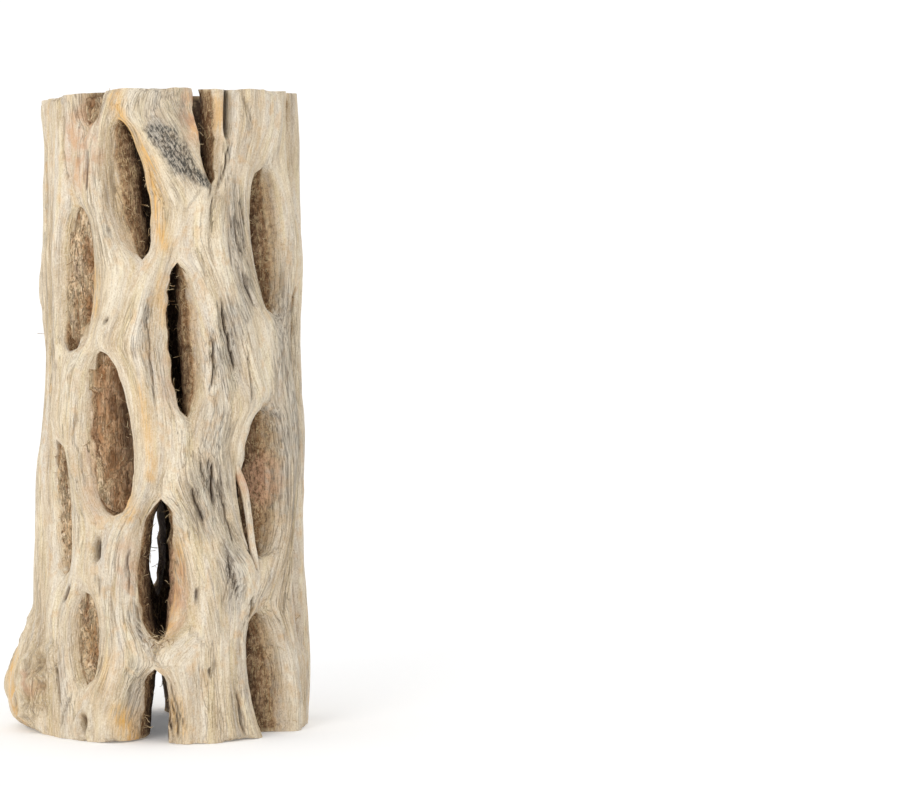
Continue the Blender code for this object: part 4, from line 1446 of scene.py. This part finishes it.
def fibre_tree(material):
    tree = bpy.data.node_groups.new("scatter_fibres", "GeometryNodeTree")
    inputs = (("Geometry", "Geometry"), ("Fibres per square metre", "Float"), ("Thickness", "Float"))
    inputs += (("Shortest", "Float"), ("Longest", "Float"), ("Seed", "Int"))
    for name, kind in inputs:
        tree.interface.new_socket(name, in_out="INPUT", socket_type="NodeSocket" + kind)
    tree.interface.new_socket("Geometry", in_out="OUTPUT", socket_type="NodeSocketGeometry")
    given = add_node(tree, "NodeGroupInput").outputs

    both = add_node(tree, "ShaderNodeMath", {0: given["Shortest"], 1: given["Longest"]}, operation="ADD")
    slim = add_node(tree, "ShaderNodeMath", {0: given["Thickness"], 1: both.outputs[0]}, operation="DIVIDE")
    profile = add_node(tree, "GeometryNodeCurvePrimitiveCircle", {"Resolution": 3, "Radius": slim.outputs[0]})
    kinds = add_node(tree, "GeometryNodeJoinGeometry")
    for x, y in FIBRE_BENDS:
        ends = {"Start": (0, 0, -0.05), "Start Handle": (x, -y, 0.3), "End Handle": (-x / 2, y, 0.7)}
        ends.update({"Resolution": 5, "End": (x, y, 0.95)})
        line = add_node(tree, "GeometryNodeCurvePrimitiveBezierSegment", ends).outputs[0]
        curves = {"Curve": line, "Profile Curve": profile.outputs[0]}
        fibre = add_node(tree, "GeometryNodeCurveToMesh", curves)
        kept = add_node(tree, "GeometryNodeGeometryToInstance", {0: fibre.outputs[0]})
        tree.links.new(kept.outputs[0], kinds.inputs[0])

    frayed = add_node(tree, "GeometryNodeInputNamedAttribute", {"Name": "fray"}, data_type="FLOAT").outputs[0]
    factors = {0: frayed, 1: given["Fibres per square metre"]}
    density = add_node(tree, "ShaderNodeMath", factors, operation="MULTIPLY").outputs[0]
    spread_over = {"Mesh": given["Geometry"], "Density": density, "Seed": given["Seed"]}
    scatter = add_node(tree, "GeometryNodeDistributePointsOnFaces", spread_over)
    kind = add_node(tree, "FunctionNodeRandomValue", {4: 0, 5: len(FIBRE_BENDS) - 1, 8: 1}, data_type="INT")
    turns = {0: (-LIES_OVER_BY, -LIES_OVER_BY, 0), 1: (LIES_OVER_BY, LIES_OVER_BY, A_FULL_TURN), 8: 2}
    tilt = add_node(tree, "FunctionNodeRandomValue", turns, data_type="FLOAT_VECTOR")
    turned_by = {0: scatter.outputs["Rotation"], 1: tilt.outputs[0]}
    stand = add_node(tree, "FunctionNodeRotateRotation", turned_by, rotation_space="LOCAL")
    lengths = {2: given["Shortest"], 3: given["Longest"], 8: 3}
    length = add_node(tree, "FunctionNodeRandomValue", lengths, data_type="FLOAT")
    picked = {"Instance": kinds.outputs[0], "Pick Instance": True, "Instance Index": kind.outputs[2]}
    turned_to = {"Rotation": stand.outputs[0], "Scale": length.outputs[1]}
    at_points = {"Points": scatter.outputs["Points"], **picked, **turned_to}
    placed = add_node(tree, "GeometryNodeInstanceOnPoints", at_points)
    real = add_node(tree, "GeometryNodeRealizeInstances", {0: placed.outputs[0]})
    finished = add_node(tree, "GeometryNodeSetMaterial", {"Geometry": real.outputs[0], "Material": material})
    add_node(tree, "NodeGroupOutput", {0: finished.outputs[0]})
    return tree


print(f"Each point gets one of {len(FIBRE_BENDS)} bent fibres")

# %% The fibres' finish
STRAW_COLOURS = ((0.4, "#8F6E48"), (0.6, "#DCC7A0"))


def loose_fibre():
    """Dry plant fibre: pale straw, darker in places, and quite matt."""
    material, tree = new_material("loose_fibre")
    place = add_node(tree, "ShaderNodeTexCoord").outputs["Object"]
    spots = noise_field(tree, Noise(2, 2, 3, 3, 0), [place])
    straw = add_node(tree, "ShaderNodeValToRGB", {"Fac": spots}, STRAW_COLOURS).outputs[0]
    look = {"Base Color": straw, "Roughness": 0.8, "Specular IOR Level": 0.2}
    shader = add_node(tree, "ShaderNodeBsdfPrincipled", look)
    add_node(tree, "ShaderNodeOutputMaterial", {"Surface": shader.outputs[0]})
    return material


print("The fibres run from", STRAW_COLOURS[0][1], "to", STRAW_COLOURS[-1][1])

# %% Scatter the fibres, and make them plain meshes
def fibres_on(source_mesh, tree, name, **sizes):
    """Runs the tree on a copy of a mesh. Its inputs are set by the sockets' identifiers."""
    host = new_object(name, source_mesh.copy())
    scatter = host.modifiers.new("scatter", "NODES")
    scatter.node_group = tree
    for socket in tree.interface.items_tree:
        if socket.in_out == "INPUT" and socket.name in sizes:
            scatter[socket.identifier] = sizes[socket.name]
    seen = host.evaluated_get(bpy.context.evaluated_depsgraph_get())
    made = bpy.data.meshes.new_from_object(seen)
    made.name = name
    host.modifiers.clear()
    host.data = made
    print(f"{name}: {len(made.polygons)} faces")
    return host


EVERY_FIBRE = {"Thickness": 0.10 * MM, "Shortest": 0.6 * MM}
ON_THE_WOOD = {"Fibres per square metre": 2.2e5, "Longest": 2.4 * MM, "Seed": 5}
ON_THE_PITH = {"Fibres per square metre": 1.6e5, "Longest": 2.0 * MM, "Seed": 6}
tree = fibre_tree(loose_fibre())
rim_fibres = fibres_on(wood_mesh, tree, "rim_fibres", **EVERY_FIBRE, **ON_THE_WOOD)
pith_fibres = fibres_on(pith_mesh, tree, "pith_fibres", **EVERY_FIBRE, **ON_THE_PITH)

# %% [markdown]
# ## The floor, the light and the camera
# The log stands on a plain white floor that runs on as the background, in bright, soft light from
# the front. The camera is a long lens at about the height of the log's upper third, looking down by
# less than three degrees, and it keeps the log in the left third of the picture.

# %% The floor
FLOOR_FRONT, FLOOR_FLAT_TO, SWEEP_RADIUS = -7.0, 1.2, 0.8
FLOOR_HALF_WIDTH, SWEEP_TOP, SWEEP_STEPS = 6.0, 2.5, 16


def plain_white():
    """Matt white paper, which glows a little so that it runs on into the background unseen."""
    material, tree = new_material("plain_white")
    paper = {"Base Color": colour("#FBFBFB"), "Roughness": 0.9, "Specular IOR Level": 0.1}
    glow = {"Emission Color": colour("#FFFFFF"), "Emission Strength": 0.12}
    shader = add_node(tree, "ShaderNodeBsdfPrincipled", {**paper, **glow})
    add_node(tree, "ShaderNodeOutputMaterial", {"Surface": shader.outputs[0]})
    return material


turns = [math.pi / 2 * step / SWEEP_STEPS for step in range(SWEEP_STEPS + 1)]
profile = [(FLOOR_FRONT, 0.0)]
profile += [(FLOOR_FLAT_TO + SWEEP_RADIUS * math.sin(t), SWEEP_RADIUS * (1 - math.cos(t))) for t in turns]
profile.append((FLOOR_FLAT_TO + SWEEP_RADIUS, SWEEP_TOP))
floor_points = np.array([(side * FLOOR_HALF_WIDTH, y, z) for y, z in profile for side in (-1, 1)])
strips = [(2 * i, 2 * i + 1, 2 * i + 3, 2 * i + 2) for i in range(len(profile) - 1)]
floor_mesh = mesh_of("floor", floor_points, strips)
floor_mesh.materials.append(plain_white())
floor = new_object("floor", floor_mesh)
floor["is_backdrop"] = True
print(f"The floor turns up {FLOOR_FLAT_TO:.1f} m behind the log")

# %% The light
KEY_PLACE = Vector((-0.44, -1.00, 0.30))
KEY_SIZE, KEY_WATTS = 0.5, 4.4
ROOM_BRIGHTNESS = 0.90

lamp = bpy.data.lights.new("key", "AREA")
lamp.shape, lamp.size, lamp.energy = "SQUARE", KEY_SIZE, KEY_WATTS
key = new_object("key", lamp)
key.location = KEY_PLACE
key.rotation_euler = (Vector((0, 0, LENGTH / 2)) - KEY_PLACE).to_track_quat("-Z", "Y").to_euler()
world = bpy.data.worlds.new("bright_room")
world.use_nodes = True
world.node_tree.nodes["Background"].inputs["Color"].default_value = colour("#FFFFFF")
world.node_tree.nodes["Background"].inputs["Strength"].default_value = ROOM_BRIGHTNESS
bpy.context.scene.world = world
bpy.context.scene.view_settings.view_transform = "Standard"

# %% The camera
LENS_MM, SENSOR_WIDTH_MM = 133.4, 36.0
CAMERA_PLACE = Vector((0.067, -0.800, 0.117))
LOOKS_DOWN = 2.64

lens = bpy.data.cameras.new("camera")
lens.lens, lens.sensor_width = LENS_MM, SENSOR_WIDTH_MM
camera = new_object("camera", lens)
camera.location = CAMERA_PLACE + AXIS
camera.rotation_euler = (math.radians(90 - LOOKS_DOWN), 0, 0)
bpy.context.scene.camera = camera
print(f"The camera stands {-camera.location.y / MM:.0f} mm in front of the log")

# %% [markdown]
# ## Tie the pieces to the frame
# Each piece rides on the imported model's one body and stands for its one solid, which is hidden.
# The finished box is written beside the solid's, to compare the two.

# %% Tie and measure
for piece in (wood, strand, pith, rim_fibres, pith_fibres):
    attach(piece, "root")
    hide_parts("cholla_skeleton")
dressed_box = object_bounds()
solid_top, dressed_top = ([round(c / MM, 1) for c in box[1]] for box in (cad_box, dressed_box))
print("Solid:", solid_top, "dressed:", dressed_top)
